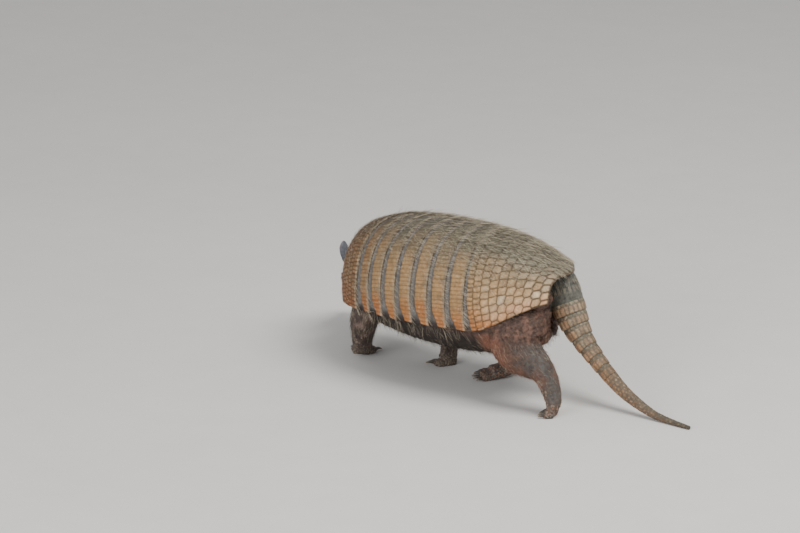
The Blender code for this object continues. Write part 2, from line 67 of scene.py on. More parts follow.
GAP = 0.0003
PLATE = 0.0040
TRUNK_DEPTH = 0.0047
BAND_COUNT = 7
BAND_PITCH = 0.0212
BAND_LENGTH = 0.0160
BAND_STEP = 0.0012
BAND_CORNER = 0.0060
SHOULDER_LENGTH = 0.0660
FIRST_BAND = SHOULDER_LENGTH + 0.0054
PELVIC_START = SHOULDER_LENGTH + 0.0056 + BAND_COUNT * BAND_PITCH
PELVIC_SIDE_END = 0.299
PELVIC_TOP_END = 0.316
MARGIN_RISE_START = 0.222
MARGIN_RISE_END = 0.300
MARGIN_RISE = math.radians(27.0)

SECTION_POWER = 2.4
SECTIONS = (                     # station, half width, height over the margin
    (0.000, 0.0555, 0.088),
    (0.030, 0.0685, 0.100),
    (0.065, 0.0755, 0.108),
    (0.140, 0.0795, 0.112),
    (0.210, 0.0800, 0.107),
    (0.260, 0.0775, 0.095),
    (0.300, 0.0650, 0.076),
    (0.325, 0.0460, 0.062),
)
BELLY = (                        # station, depth under the margin
    (-0.020, 0.006),
    (0.030, 0.018),
    (0.080, 0.027),
    (0.130, 0.036),
    (0.200, 0.041),
    (0.270, 0.036),
    (0.340, 0.020),
)
BELLY_INSET = 0.0085
TRUNK_FRONT = -0.010
TRUNK_FRONT_ROUND = 0.042
TRUNK_REAR = 0.290
TRUNK_REAR_ROUND = 0.034

HEAD_STATION = -0.045
HEAD_HEIGHT = 0.089
HEAD_TURN = math.radians(35.0)
HEAD_DROP = math.radians(33.0)
HEAD_POWER = 2.3
HEAD = (                         # distance ahead, half width, height over the axis, depth under it
    (-0.014, 0.0150, 0.0100, 0.0130),
    (-0.009, 0.0225, 0.0150, 0.0190),
    (0.002, 0.0290, 0.0190, 0.0240),
    (0.016, 0.0325, 0.0210, 0.0270),
    (0.032, 0.0335, 0.0205, 0.0265),
    (0.047, 0.0295, 0.0185, 0.0230),
    (0.062, 0.0225, 0.0155, 0.0185),
    (0.078, 0.0160, 0.0120, 0.0140),
    (0.094, 0.0118, 0.0092, 0.0105),
    (0.103, 0.0098, 0.0078, 0.0085),
    (0.108, 0.0062, 0.0050, 0.0055),
)
HEAD_PLATE = 0.0018
HEAD_PLATE_START = 0.002
HEAD_PLATE_EAR_ROOM = 0.012
HEAD_PLATE_END = 0.088
EAR_LENGTH = 0.033
EAR_WIDTH = 0.0105
EAR_CUP = 0.0052
EAR_PLACE = (0.0020, 0.0265, 0.0085)
EYE_RADIUS = 0.0042
EYE_PLACE = (0.0490, 0.0255, 0.0070)

TOE_SPREAD = (-2, -1, 0, 1, 2)
TOE_FAN = math.radians(13.0)
TOE_STEP = 0.0058
LEGS = {                         # station, lateral distance, height, half width, half depth
    "hind_left": (
        (0.258, 0.030, 0.108, 0.024, 0.034),
        (0.264, 0.050, 0.098, 0.026, 0.038),
        (0.271, 0.063, 0.075, 0.020, 0.032),
        (0.296, 0.067, 0.052, 0.0155, 0.0165),
        (0.305, 0.071, 0.034, 0.0145, 0.0125),
        (0.309, 0.074, 0.018, 0.0145, 0.0100),
        (0.308, 0.075, 0.008, 0.0130, 0.0075),
    ),
    "hind_right": (
        (0.262, -0.030, 0.108, 0.024, 0.034),
        (0.252, -0.052, 0.092, 0.026, 0.034),
        (0.226, -0.062, 0.066, 0.018, 0.023),
        (0.217, -0.056, 0.036, 0.0130, 0.0145),
        (0.213, -0.050, 0.019, 0.0135, 0.0135),
        (0.202, -0.038, 0.0095, 0.0145, 0.0100),
        (0.192, -0.028, 0.0080, 0.0150, 0.0085),
    ),
    "front_left": (
        (0.046, 0.030, 0.092, 0.020, 0.026),
        (0.046, 0.045, 0.066, 0.020, 0.027),
        (0.043, 0.048, 0.050, 0.0175, 0.0220),
        (0.038, 0.047, 0.032, 0.0140, 0.0160),
        (0.027, 0.041, 0.017, 0.0125, 0.0115),
        (0.016, 0.035, 0.0085, 0.0135, 0.0090),
    ),
    "front_right": (
        (0.060, -0.030, 0.094, 0.020, 0.026),
        (0.083, -0.046, 0.066, 0.019, 0.022),
        (0.096, -0.045, 0.045, 0.0145, 0.0155),
        (0.104, -0.038, 0.027, 0.0115, 0.0110),
        (0.111, -0.032, 0.014, 0.0120, 0.0090),
        (0.112, -0.028, 0.008, 0.0125, 0.0080),
    ),
}
FEET = {                         # heading from -X towards +Y, toe length and radius, claw length and radius
    "hind_left": (math.radians(-20.0), 0.0040, 0.0046, 0.0085, 0.0032),
    "hind_right": (math.radians(-38.0), 0.0110, 0.0048, 0.0095, 0.0033),
    "front_left": (math.radians(62.0), 0.0080, 0.0045, 0.0145, 0.0034),
    "front_right": (math.radians(22.0), 0.0050, 0.0045, 0.0135, 0.0034),
}
TAIL = (                         # x and y from the middle place, height, radius
    (0.1200, 0.0360, 0.1470, 0.0200),
    (0.1277, 0.0360, 0.1336, 0.0212),
    (0.1342, 0.0357, 0.1174, 0.0213),
    (0.1472, 0.0350, 0.0925, 0.0178),
    (0.1560, 0.0346, 0.0806, 0.0150),
    (0.1664, 0.0341, 0.0690, 0.0126),
    (0.1909, 0.0328, 0.0480, 0.0100),
    (0.2247, 0.0311, 0.0242, 0.0078),
    (0.2619, 0.0292, 0.0089, 0.0054),
    (0.2879, 0.0279, 0.0042, 0.0040),
    (0.3250, 0.0261, 0.0024, 0.0023),
)
TAIL_BASE_LENGTH = 0.033
TAIL_RING_COUNT = 7
TAIL_RING_PITCH = 0.0154
TAIL_MIDDLE_LENGTH = 0.055

# ---- sizes of the looks
SHEET_CELL = 0.00095             # spacing of the points on a plate
ARCH_SAMPLES = 900
COARSE = 6                       # points of a plate's outer side to one of its inner side
SCALLOP = 0.0017                 # radius of the corners of the scutes along a plate's border
LID_HALF = (0.88, 0.66)          # half the eye's opening, along and across, in eyeball radii
BODY_VOXEL = 0.0016
HEAD_VOXEL = 0.00075
SKIN_TRIANGLES = 190000
COAT_DEPTH = 0.0011              # how far the skin of the legs lies inside their outline
ROW_NUMBERS = 1000.0             # the scutes of each row are numbered from a multiple of this
CLAW_PARTS = np.linspace(-0.22, 1.0, 14)
CLAW_SIDES = 14
SCALE_POINTS = 19                # three rings of six and a crown
BRISTLE_POINTS = 10              # three rings of three and a tip
UP = np.array((0.0, 0.0, 1.0))
SIDES = LEFT, RIGHT = 1.0, -1.0


# ---- settings
class ArmadilloShell(bpy.types.PropertyGroup):
    groove_depth: FloatProperty(
        name="Groove depth", description="Depth of the grooves between scutes",
        default=0.0007, unit="LENGTH")
    groove_width: FloatProperty(
        name="Groove width", description="Half width of the grooves between scutes",
        default=0.0009, unit="LENGTH")
    band_scutes: IntProperty(
        name="Scutes in a band", description="Scutes across a movable band", default=62, min=20)
    tan: FloatVectorProperty(
        name="Tan", description="Horn of the sides and the bands",
        default=(0.41, 0.238, 0.098), subtype="COLOR")
    rust: FloatVectorProperty(
        name="Rust", description="Horn along the lower margins and the front",
        default=(0.43, 0.135, 0.026), subtype="COLOR")
    grey: FloatVectorProperty(
        name="Grey", description="Weathered horn on the back",
        default=(0.165, 0.150, 0.105), subtype="COLOR")
    cream: FloatVectorProperty(
        name="Cream", description="Worn rims and the palest scutes",
        default=(0.62, 0.50, 0.34), subtype="COLOR")
    dirt: FloatVectorProperty(
        name="Dirt", description="Dirt in the grooves", default=(0.060, 0.040, 0.024), subtype="COLOR")
    under: FloatVectorProperty(
        name="Under", description="Skin at the front of each band",
        default=(0.125, 0.112, 0.098), subtype="COLOR")


class ArmadilloSkin(bpy.types.PropertyGroup):
    # Dark skin: partly the real dark brown of the belly and forelegs, partly painted shade, lowered for the
    # belly in the shadow under the body.
    dark: FloatVectorProperty(
        name="Dark skin", description="Belly and forelegs", default=(0.050, 0.034, 0.027), subtype="COLOR")
    slate: FloatVectorProperty(
        name="Slate skin", description="Skin between the bands, tail root and soles",
        default=(0.140, 0.128, 0.116), subtype="COLOR")
    plum: FloatVectorProperty(
        name="Plum skin", description="Thighs and the folds round the tail",
        default=(0.120, 0.062, 0.050), subtype="COLOR")
    ear: FloatVectorProperty(
        name="Ear skin", description="Skin of the ears", default=(0.125, 0.130, 0.150), subtype="COLOR")
    wrinkle_depth: FloatProperty(
        name="Wrinkle depth", description="Depth of the skin's folds", default=0.0006, unit="LENGTH")


class ArmadilloCoat(bpy.types.PropertyGroup):
    thickness: FloatProperty(
        name="Bristle thickness", description="Thickness of a bristle at its root",
        default=0.00036, unit="LENGTH")
    pale: FloatVectorProperty(
        name="Pale bristles", description="Bristles of the shell and the flanks",
        default=(0.62, 0.53, 0.38), subtype="COLOR")
    # Brown bristles: partly their own dark brown, partly painted shade, lowered for the belly hair in the
    # shadow under the body.
    brown: FloatVectorProperty(
        name="Brown bristles", description="Bristles of the belly and the front legs",
        default=(0.060, 0.041, 0.030), subtype="COLOR")
    thigh: FloatVectorProperty(
        name="Thigh bristles", description="Bristles of the thighs",
        default=(0.200, 0.105, 0.068), subtype="COLOR")


class ArmadilloStage(bpy.types.PropertyGroup):
    floor_size: FloatProperty(
        name="Floor size", description="Side of the floor", default=24.0, unit="LENGTH")
    floor_colour: FloatVectorProperty(
        name="Floor colour", description="Plain floor", default=(0.70, 0.68, 0.65), subtype="COLOR")
    key_power: FloatProperty(name="Key light", description="Power of the main light in watts", default=55.0)
    fill_power: FloatProperty(
        name="Fill light", description="Power of the fill light in watts", default=45.0)


SETTINGS = {
    "armadillo_shell": ArmadilloShell,
    "armadillo_skin": ArmadilloSkin,
    "armadillo_coat": ArmadilloCoat,
    "armadillo_stage": ArmadilloStage,
}


# ---- the body's own frame
def unit(vectors):
    return vectors / np.maximum(np.linalg.norm(vectors, axis=-1, keepdims=True), 1e-12)


def rise(low, high, value):
    """0 below low, 1 above high and a smooth step between them."""
    part = np.clip((value - low) / (high - low), 0.0, 1.0)
    return part * part * (3.0 - 2.0 * part)


def fall(low, high, value):
    """1 below low, 0 above high and a smooth step between them."""
    return 1.0 - rise(low, high, value)


def between(rows, where, column):
    """One column of rows at stations, on a smooth curve through the rows."""
    rows = np.array(rows, float)
    where = np.asarray(where, float)
    last = len(rows) - 1
    low = np.clip(np.searchsorted(rows[:, 0], where) - 1, 0, last - 1)
    slopes = []
    for at in (low, low + 1):
        before = rows[np.maximum(at - 1, 0)]
        after = rows[np.minimum(at + 1, last)]
        slopes.append((after[..., column] - before[..., column]) / (after[..., 0] - before[..., 0]))
    span = rows[low + 1, 0] - rows[low, 0]
    part = np.clip((where - rows[low, 0]) / span, 0.0, 1.0)
    climb = rows[low + 1, column] - rows[low, column]
    lean = slopes[0] * span * (1.0 - part) - slopes[1] * span * part
    return rows[low, column] + climb * part**2 * (3.0 - 2.0 * part) + part * (1.0 - part) * lean


def backward(station):
    """The direction towards the tail."""
    turn = -BEND * (station - MIDDLE_STATION)
    pitch = MIDDLE_PITCH + PITCH_CHANGE * (station - MIDDLE_STATION)
    return np.stack([np.cos(turn) * np.cos(pitch), -np.sin(turn) * np.cos(pitch), np.sin(pitch)], -1)


def spine(station):
    """The middle of the margin's plane at a station."""
    station = np.asarray(station, float)
    span = station - MIDDLE_STATION
    shares = (np.arange(16) + 0.5) / 16
    mean = backward(MIDDLE_STATION + span[..., None] * shares).mean(-2)
    return np.array(MIDDLE_PLACE) + mean * span[..., None]


def left_of(direction):
    """The level direction to the left of an animal whose tail points along a direction."""
    return unit(np.stack([direction[..., 1], -direction[..., 0], 0.0 * direction[..., 0]], -1))


def place(station, lateral, height):
    """A place on the body, by its station, lateral distance and height over the floor."""
    point = spine(station) + left_of(backward(station)) * lateral
    return np.array((point[0], point[1], height))


def turns(count):
    """Angles evenly round a circle."""
    return np.linspace(0.0, math.tau, count, endpoint=False)


def power_curve(angle, width, height, power):
    """A point of a squared ellipse: across and up."""
    across, up = (np.sign(value) * np.abs(value) ** (2.0 / power) for value in (np.cos(angle), np.sin(angle)))
    return width * across, height * up


def section_point(station, angle, depth=0.0, inset=0.0):
    """A point of the body's section: the arch of the back over the margin, the belly under it."""
    station, angle = np.broadcast_arrays(np.asarray(station, float), np.asarray(angle, float))
    under = np.sin(angle) < -1e-9
    width = between(SECTIONS, station, 1) - depth - np.where(under, inset, 0.0)
    belly = between(BELLY, station, 1) - depth + TRUNK_DEPTH
    height = np.where(under, belly, between(SECTIONS, station, 2) - depth)
    across, up = power_curve(angle, width, height, SECTION_POWER)
    tailward = backward(station)
    left = left_of(tailward)
    return spine(station) + left * across[..., None] + np.cross(left, tailward) * up[..., None]


def margin_angle(station):
    part = np.clip((station - MARGIN_RISE_START) / (MARGIN_RISE_END - MARGIN_RISE_START), 0.0, 1.0)
    return MARGIN_RISE * part * part * (1.6 - 0.6 * part)


def arch_angle(station, share):
    """The angle of a share of the arch of the back, from its left margin at 0 to its right at 1."""
    edge = margin_angle(station)
    return edge + (math.pi - 2.0 * edge) * share


def body_place(points):
    """The station, lateral distance and height over the margin's plane of points in the frame."""
    station = np.full(len(points), MIDDLE_STATION)
    for _ in range(12):
        tailward = backward(station)
        offset = points - spine(station)
        lateral = (offset * left_of(tailward)).sum(-1)
        stretch = np.maximum(1.0 + BEND * lateral, 0.35)
        station = np.clip(station + (offset * tailward).sum(-1) / stretch, -0.1, 0.4)
    tailward = backward(station)
    left = left_of(tailward)
    offset = points - spine(station)
    return station, (offset * left).sum(-1), (offset * np.cross(left, tailward)).sum(-1)


# ---- chance and waves
def chance(numbers, seed):
    """A repeatable random share for each number."""
    value = np.sin(np.asarray(numbers, float) * 12.9898 + seed * 78.233) * 43758.5453
    return value - np.floor(value)


def waves(points, wavelength, seed, count=16):
    """A smooth random field over points, roughly from -1 to 1."""
    source = np.random.default_rng(int(seed))
    total = np.zeros(points.shape[:-1])
    for _ in range(count):
        direction = unit(source.normal(size=3))
        size = wavelength * source.uniform(0.7, 1.4)
        total += np.sin(points @ direction * (math.tau / size) + source.uniform(0.0, math.tau))
    return total / math.sqrt(count)


# ---- meshes
def mesh_from(name, points, faces):
    mesh = bpy.data.meshes.new(name)
    mesh.from_pydata(np.asarray(points).reshape(-1, 3).tolist(), [], faces)
    mesh.update()
    return mesh


def linked(name, data):
    """An object of the scene."""
    made = bpy.data.objects.new(name, data)
    bpy.context.scene.collection.objects.link(made)
    return made


def show(name, mesh, finish, nodes=(), sharp=None):
    """A piece of the model: its object, finish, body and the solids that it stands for."""
    made = linked(name, mesh)
    mesh.materials.clear()
    mesh.materials.append(finish)
    mesh.shade_smooth()
    if sharp:
        mesh.set_sharp_from_angle(angle=math.radians(sharp))
    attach(made, "root")
    if nodes:
        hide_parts(*nodes)
    return made


def turn_out(mesh):
    """Every face of a closed mesh turned out."""
    builder = bmesh.new()
    builder.from_mesh(mesh)
    bmesh.ops.recalc_face_normals(builder, faces=builder.faces)
    builder.to_mesh(mesh)
    builder.free()


def set_value(mesh, name, values):
    attribute = mesh.attributes.new(name, "FLOAT", "POINT")
    attribute.data.foreach_set("value", np.asarray(values, np.float32).ravel())


def set_colour(mesh, name, values):
    attribute = mesh.attributes.new(name, "FLOAT_COLOR", "POINT")
    four = np.ones((len(mesh.vertices), 4), np.float32)
    four[:, :3] = np.asarray(values).reshape(-1, 3)
    attribute.data.foreach_set("color", four.ravel())


def read_vectors(items, name):
    """Three numbers of each of a mesh's items."""
    values = np.empty(len(items) * 3, np.float32)
    items.foreach_get(name, values)
    return values.reshape(-1, 3).astype(float)


def mesh_points(mesh):
    return read_vectors(mesh.vertices, "co")


def move_points(mesh, points):
    mesh.vertices.foreach_set("co", np.asarray(points, np.float32).ravel())
    mesh.update()


def over_floor(points, least=0.0):
    """Points with none of them lower than a height."""
    return np.maximum(points, (-np.inf, -np.inf, least))


def ring_faces(near, far, sides):
    """Faces between two rings of points."""
    return [(near + side, near + (side + 1) % sides, far + (side + 1) % sides, far + side)
            for side in range(sides)]


def tube_faces(rings, sides, first=0):
    """Faces of a closed tube through rings of points, with flat ends."""
    starts = range(first, first + rings * sides, sides)
    faces = [face for near in starts[:-1] for face in ring_faces(near, near + sides, sides)]
    ends = range(first, first + sides), range(starts[-1], starts[-1] + sides)
    return faces + [tuple(reversed(ends[0])), tuple(ends[1])]


def repeated(pattern, count, size):
    """The same faces for each of many bodies of a number of points."""
    return [tuple(first + corner for corner in face)
            for first in range(0, count * size, size) for face in pattern]


def smooth_path(rows, steps):
    """Rows of numbers on a smooth curve through the given rows, steps to each stretch."""
    numbered = [(float(index), *row) for index, row in enumerate(rows)]
    where = np.arange((len(rows) - 1) * steps + 1) / steps
    return np.stack([between(numbered, where, column + 1) for column in range(len(rows[0]))], -1)


def tube_rings(path, side, sides, power=2.0):
    """Rings along rows of x, y, z, half width along a side direction and half depth."""
    centres = path[:, :3]
    ends = centres[1:2] - centres[:1], centres[-1:] - centres[-2:-1]
    along = unit(np.vstack([ends[0], centres[2:] - centres[:-2], ends[1]]))
    across = unit(side - along * (along @ side)[:, None])
    over = np.cross(along, across)
    angle = math.tau * (np.arange(sides) + 0.5) / sides
    wide, deep = power_curve(angle[None, :], path[:, 3:4], path[:, 4:5], power)
    return centres[:, None] + across[:, None] * wide[..., None] + over[:, None] * deep[..., None]


class Bodies:
    """Closed bodies gathered into one mesh, to be fused by a remesh."""

    def __init__(self):
        self.points = []
        self.faces = []
        self.count = 0

    def add(self, rings):
        rings = np.asarray(rings)
        self.faces += tube_faces(rings.shape[0], rings.shape[1], self.count)
        self.points.append(rings.reshape(-1, 3))
        self.count += rings.shape[0] * rings.shape[1]

    def fuse(self, name, voxel, smoothing):
        """One closed surface round all the bodies."""
        mesh = mesh_from(name, np.vstack(self.points), self.faces)
        turn_out(mesh)
        holder = linked(name, mesh)
        remesh = holder.modifiers.new("fuse", "REMESH")
        remesh.mode = "VOXEL"
        remesh.voxel_size = voxel
        smooth = holder.modifiers.new("smooth", "SMOOTH")
        smooth.factor = 0.5
        smooth.iterations = smoothing
        return applied(holder)


def applied(holder):
    """The mesh of an object with its modifiers applied; the object itself goes."""
    bpy.context.view_layer.update()
    graph = bpy.context.evaluated_depsgraph_get()
    mesh = bpy.data.meshes.new_from_object(holder.evaluated_get(graph))
    bpy.data.objects.remove(holder, do_unlink=True)
    return mesh


# ---- scutes
def scutes(part, across, length, width, rows, jitter, seed):
    """For points of a plate: the distance to the nearest groove and the number of the scute they are in.

    part and across are shares along and across the plate, length and width its local sizes there, and
    rows gives each row of scutes' middle share along the plate, their count and their sideways shift.
    A share across the plate may run on past 1, back to the scutes of its start.
    """
    places = np.broadcast_arrays(part, across, length, width)
    part, across, length, width = (value.ravel() for value in places)
    middles, counts, shifts = (np.array(column) for column in zip(*rows))
    nearest_row = np.abs(part[:, None] - middles[None, :]).argmin(1)
    along_offsets, across_offsets, numbers = [], [], []
    for row_step in (-1, 0, 1):
        wanted = nearest_row + row_step
        row = np.clip(wanted, 0, len(rows) - 1)
        count = counts[row]
        shift = shifts[row]
        slimness = np.minimum(1.0, (width / count) / (length / len(rows))) ** 3
        first = np.floor(across * count - shift)
        for step in (-1, 0, 1):
            column = first + step
            number = row * ROW_NUMBERS + np.mod(column, count)
            along = middles[row] + slimness * jitter * (chance(number, seed) - 0.5) / len(rows)
            aside = (column + 0.5 + shift + jitter * (chance(number, seed + 1.7) - 0.5)) / count
            outside = np.where(wanted == row, 0.0, 1.0)
            along_offsets.append((part - along) * length + outside)
            across_offsets.append((across - aside) * width)
            numbers.append(number)
    along_offsets = np.array(along_offsets)
    across_offsets = np.array(across_offsets)
    squares = along_offsets**2 + across_offsets**2
    own = squares.argmin(0)
    here = np.arange(len(part))
    edge = np.full(len(part), 1.0)
    for other in range(len(squares)):
        apart = np.hypot(along_offsets[other] - along_offsets[own, here],
                         across_offsets[other] - across_offsets[own, here])
        reach = (squares[other] - squares[own, here]) / (2.0 * np.maximum(apart, 1e-6))
        edge = np.where(other == own, edge, np.minimum(edge, reach))
    shape = places[0].shape
    return edge.reshape(shape), np.array(numbers)[own, here].reshape(shape)


def scute_height(edge, number, shell, seed, relief=1.0):
    """How far a scute's surface stands out: a groove at its edge, a soft crown and a little unevenness."""
    groove = shell.groove_depth * fall(0.0, shell.groove_width, edge)
    crown = 0.0003 * rise(0.0, 0.0032, edge)
    return relief * (crown - groove + 0.00022 * (chance(number, seed) - 0.5))


def rim_drop(border, radius):
    """How far a plate's rounded edge falls at a distance from its border."""
    inside = np.clip(radius - border, 0.0, radius)
    return radius - np.sqrt(radius**2 - inside**2)


def mixed(first, second, share):
    return first * (1.0 - share[..., None]) + second * share[..., None]


def colours(settings, *names):
    """Colours of a group of settings by their names."""
    return [np.array(getattr(settings, name)) for name in names]


def shell_colour(shell, points, number, edge, high, along, rear, seed, outline=0.85):
    """The horn's colour: rust along the margins and the front, tan sides, a grey back and cream rims.

    high is a share of the arch's height, along one of the shell's length.
    """
    tan, rust, grey, cream, dirt = colours(shell, "tan", "rust", "grey", "cream", "dirt")
    cloud = waves(points, 0.045, seed)
    behind = rise(0.71, 0.8, along)
    age = high + 0.06 * cloud + 0.16 * along + 0.05 * behind
    tone = mixed(tan, grey, rise(0.38, 0.92, age))
    tone = tone * (1.0 - 0.42 * rise(0.45, 1.02, high + 0.05 * cloud))[..., None]
    frontness = fall(-0.05, 0.42, along + 0.05 * cloud) * (1.0 - 0.6 * rise(0.5, 0.9, high))
    tone = mixed(tone, 0.55 * rust + 0.14 * tan, 0.8 * frontness)
    lowness = fall(0.02, 0.26 - 0.1 * behind, high + 0.04 * cloud)
    tone = mixed(tone, cream * (0.93, 0.82, 0.75), 0.56 * behind * fall(0.06, 0.36, high))
    tone = mixed(tone, rust, (0.86 - 0.66 * rise(0.79, 0.9, along)) * lowness)
    tone = tone * (0.58 + 0.42 * rise(0.12, 0.36, along))[..., None]
    odd = chance(number, seed + 3.1)
    plain = rise(0.2, 0.22, along) * fall(0.66, 0.7, along)
    tone = tone * (1.0 + (0.34 - 0.2 * plain) * (odd - 0.5))[..., None]
    pale = rise(0.7, 1.0, chance(number, seed + 5.3)) * fall(0.3, 0.6, high)
    pale = pale * (0.15 + 0.85 * behind)
    tone = mixed(tone, cream, 0.45 * pale)
    crowned = rise(0.0012, 0.0036, edge) * rise(0.66, 0.72, along)
    tone = tone * (0.9 + 0.18 * crowned)[..., None]
    ruddy = rise(0.66, 0.9, chance(number, seed + 7.7)) * behind * fall(0.45, 0.75, high)
    ruddy = ruddy * np.maximum(fall(0.01, 0.024, rear), lowness)
    tone = mixed(tone, 0.7 * rust + 0.45 * cream, 0.75 * ruddy)
    rim = (0.62 - 0.4 * behind) * (1.0 - 0.7 * rise(0.35, 0.75, high))
    tone = mixed(tone, cream, rim * fall(0.0004, 0.0022, rear))
    wide = 1.0 + 0.9 * rise(0.9, 0.97, along) * fall(0.5, 0.8, high)
    return mixed(tone, dirt, outline * fall(0.0002, 0.0011, edge / wide))


def arc_shares(station, columns):
    """Shares of the arch's angle that lie evenly along its length, and that length."""
    shares = np.linspace(0.0, 1.0, ARCH_SAMPLES)
    run = steps_along(section_point(np.full(ARCH_SAMPLES, station), arch_angle(station, shares)), 0)
    return np.interp(np.linspace(0.0, run[-1], columns + 1), run, shares), run[-1]


def whole_steps(length, cell):
    return max(COARSE, COARSE * round(length / cell / COARSE))


def plate_faces(rows, columns):
    """Faces of a closed plate: a fine outer side, a coarse inner side and walls between them."""
    wide = columns + 1
    faces = [(i * wide + j, i * wide + j + 1, (i + 1) * wide + j + 1, (i + 1) * wide + j)
             for i in range(rows) for j in range(columns)]
    first = (rows + 1) * wide
    low_rows, low_columns = rows // COARSE, columns // COARSE
    low_wide = low_columns + 1
    faces += [(first + i * low_wide + j, first + (i + 1) * low_wide + j,
               first + (i + 1) * low_wide + j + 1, first + i * low_wide + j + 1)
              for i in range(low_rows) for j in range(low_columns)]
    for row, low_row in ((0, 0), (rows, low_rows)):
        for j in range(low_columns):
            top = [row * wide + j * COARSE + step for step in range(COARSE + 1)]
            low = first + low_row * low_wide + j
            faces.append(tuple(top + [low + 1, low]))
    for column, low_column in ((0, 0), (columns, low_columns)):
        for i in range(low_rows):
            top = [(i * COARSE + step) * wide + column for step in range(COARSE + 1)]
            low = first + i * low_wide + low_column
            faces.append(tuple(top + [low + low_wide, low]))
    return faces


def sheet_normals(points, inside):
    """Unit normals of a grid of points, turned away from the points of its inner side."""
    normals = unit(np.cross(np.gradient(points, axis=0), np.gradient(points, axis=1)))
    return normals * np.sign((normals * (points - inside)).sum(-1))[..., None]


def steps_along(points, axis):
    """Running length along one direction of a grid of points."""
    moved = np.linalg.norm(np.diff(points, axis=axis), axis=-1)
    start = np.zeros_like(np.take(moved, [0], axis=axis))
    return np.concatenate([start, np.cumsum(moved, axis=axis)], axis=axis)


def armour(name, outer, inner, rows, shell, tones, finish, node, jitter=0.16, seed=1.0, rim=0.0012,
           tuck=0.0, relief=1.0):
    """A plate of scutes over a grid of outer points, closed by a coarse inner side.

    tuck is the length over which the front of the plate dips under its neighbour's skin.
    """
    dirt, under = colours(shell, "dirt", "under")
    length = steps_along(outer, 0)
    width = steps_along(outer, 1)
    whole_length = length[-1:, :]
    whole_width = width[:, -1:]
    part = length / whole_length
    across = width / whole_width
    edge, number = scutes(part, across, whole_length, whole_width, rows, jitter, seed)
    front, rear = length, whole_length - length
    sides = np.minimum(width, whole_width - width)
    border = np.minimum(np.minimum(front, rear), sides)
    height = scute_height(edge, number, shell, seed, relief) - rim_drop(border, rim)
    rounded = np.hypot(np.maximum(SCALLOP - border, 0.0), np.maximum(SCALLOP - edge, 0.0)) - SCALLOP
    rounded = np.maximum(rounded, 0.0) * rise(0.0, 0.0008, SCALLOP - edge)
    height = height - 1.6 * relief * rounded
    height = height + 0.00006 * waves(outer, 0.0022, int(seed * 7) + 3)
    colour = tones(outer, number, np.minimum(edge, border + 0.0006), across, part, rear)
    colour = mixed(colour, dirt, 0.8 * relief * rise(0.0001, 0.0006, rounded))
    if tuck:
        tucked = fall(0.5 * tuck, tuck, front + 0.0004 * waves(outer, 0.004, 5))
        height = height - 0.0011 * tucked
        colour = mixed(colour, under, tucked)
    surface = outer + sheet_normals(outer, inner) * height[..., None]
    low = inner[::COARSE, ::COARSE]
    points = np.vstack([surface.reshape(-1, 3), low.reshape(-1, 3)])
    mesh = mesh_from(name, points, plate_faces(outer.shape[0] - 1, outer.shape[1] - 1))
    turn_out(mesh)
    hidden = low.size // 3
    set_colour(mesh, "tone", np.vstack([colour.reshape(-1, 3), np.tile(dirt * 2.0, (hidden, 1))]))
    set_value(mesh, "groove", np.concatenate([fall(0.0, 0.0014, edge).ravel(), np.ones(hidden)]))
    set_value(mesh, "grain", np.concatenate([chance(number, seed + 9.0).ravel(), np.zeros(hidden)]))
    return show(name, mesh, finish, [node] if node else [], sharp=60.0)


def shell_sheet(station_start, station_end, front_depth):
    """The outer and inner grids of a plate of the shell, between two stations for each share of the arch."""
    middle = 0.5 * (float(station_start(np.array(0.5))) + float(station_end(np.array(0.5))))
    columns = whole_steps(arc_shares(middle, COARSE)[1], SHEET_CELL)
    shares, _ = arc_shares(middle, columns)
    start, end = station_start(shares), station_end(shares)
    run = np.linspace(start[0], end[0], 40)
    side = section_point(run, margin_angle(run))
    rows = whole_steps(np.linalg.norm(np.diff(side, axis=0), axis=1).sum(), SHEET_CELL)
    part = np.linspace(0.0, 1.0, rows + 1)[:, None]
    station = start[None, :] + (end - start)[None, :] * part
    angle = arch_angle(station, shares[None, :])
    return section_point(station, angle, front_depth * (1.0 - part)), section_point(station, angle, PLATE)


def corner_share(share):
    """1 at the shell's left and right edge, falling to 0 an eighth of the way up the arch."""
    return np.maximum(0.0, 1.0 - 8.0 * np.minimum(share, 1.0 - share)) ** 2


def band_corner(share):
    """How far a band's ends sweep back at the shell's edges."""
    return 0.5 * BAND_CORNER * corner_share(share)


def tip_share(share):
    """1 at the shell's left and right edge, falling to 0 where the pointed tips of the bands begin."""
    return np.maximum(0.0, 1.0 - np.minimum(share, 1.0 - share) / 0.034)


def top_reach(share):
    """How much further forward a band or the rear shield reaches high on the arch, where less skin shows."""
    return 0.0004 + 0.0019 * rise(0.3, 0.95, np.sin(math.pi * share))


def shell_tones(shell, station_start, station_end, seed, outline=0.85):
    """A colouring for a plate that lies between two shares of the shell's length."""
    def tones(points, number, edge, across, part, rear):
        high = 1.0 - np.abs(2.0 * across - 1.0)
        along = station_start + (station_end - station_start) * part
        return shell_colour(shell, points, number, edge, high, along, rear, seed, outline)
    return tones


def build_shoulder(shell, finish):
    outer, inner = shell_sheet(
        lambda share: 0.006 * np.sin(math.pi * share) ** 2 - 0.002,
        lambda share: np.full_like(share, SHOULDER_LENGTH),
        BAND_STEP)
    count = 8
    rows = [((row + 0.5) / count, 52 + row, 0.5 * (row % 2)) for row in range(count - 1)]
    rows.append(((count - 0.5) / count, shell.band_scutes, 0.0))
    armour("shell_shoulder_scutes", outer, inner, rows, shell, shell_tones(shell, 0.0, 0.2, 2), finish,
           "shell_shoulder", jitter=0.3, seed=2.0)


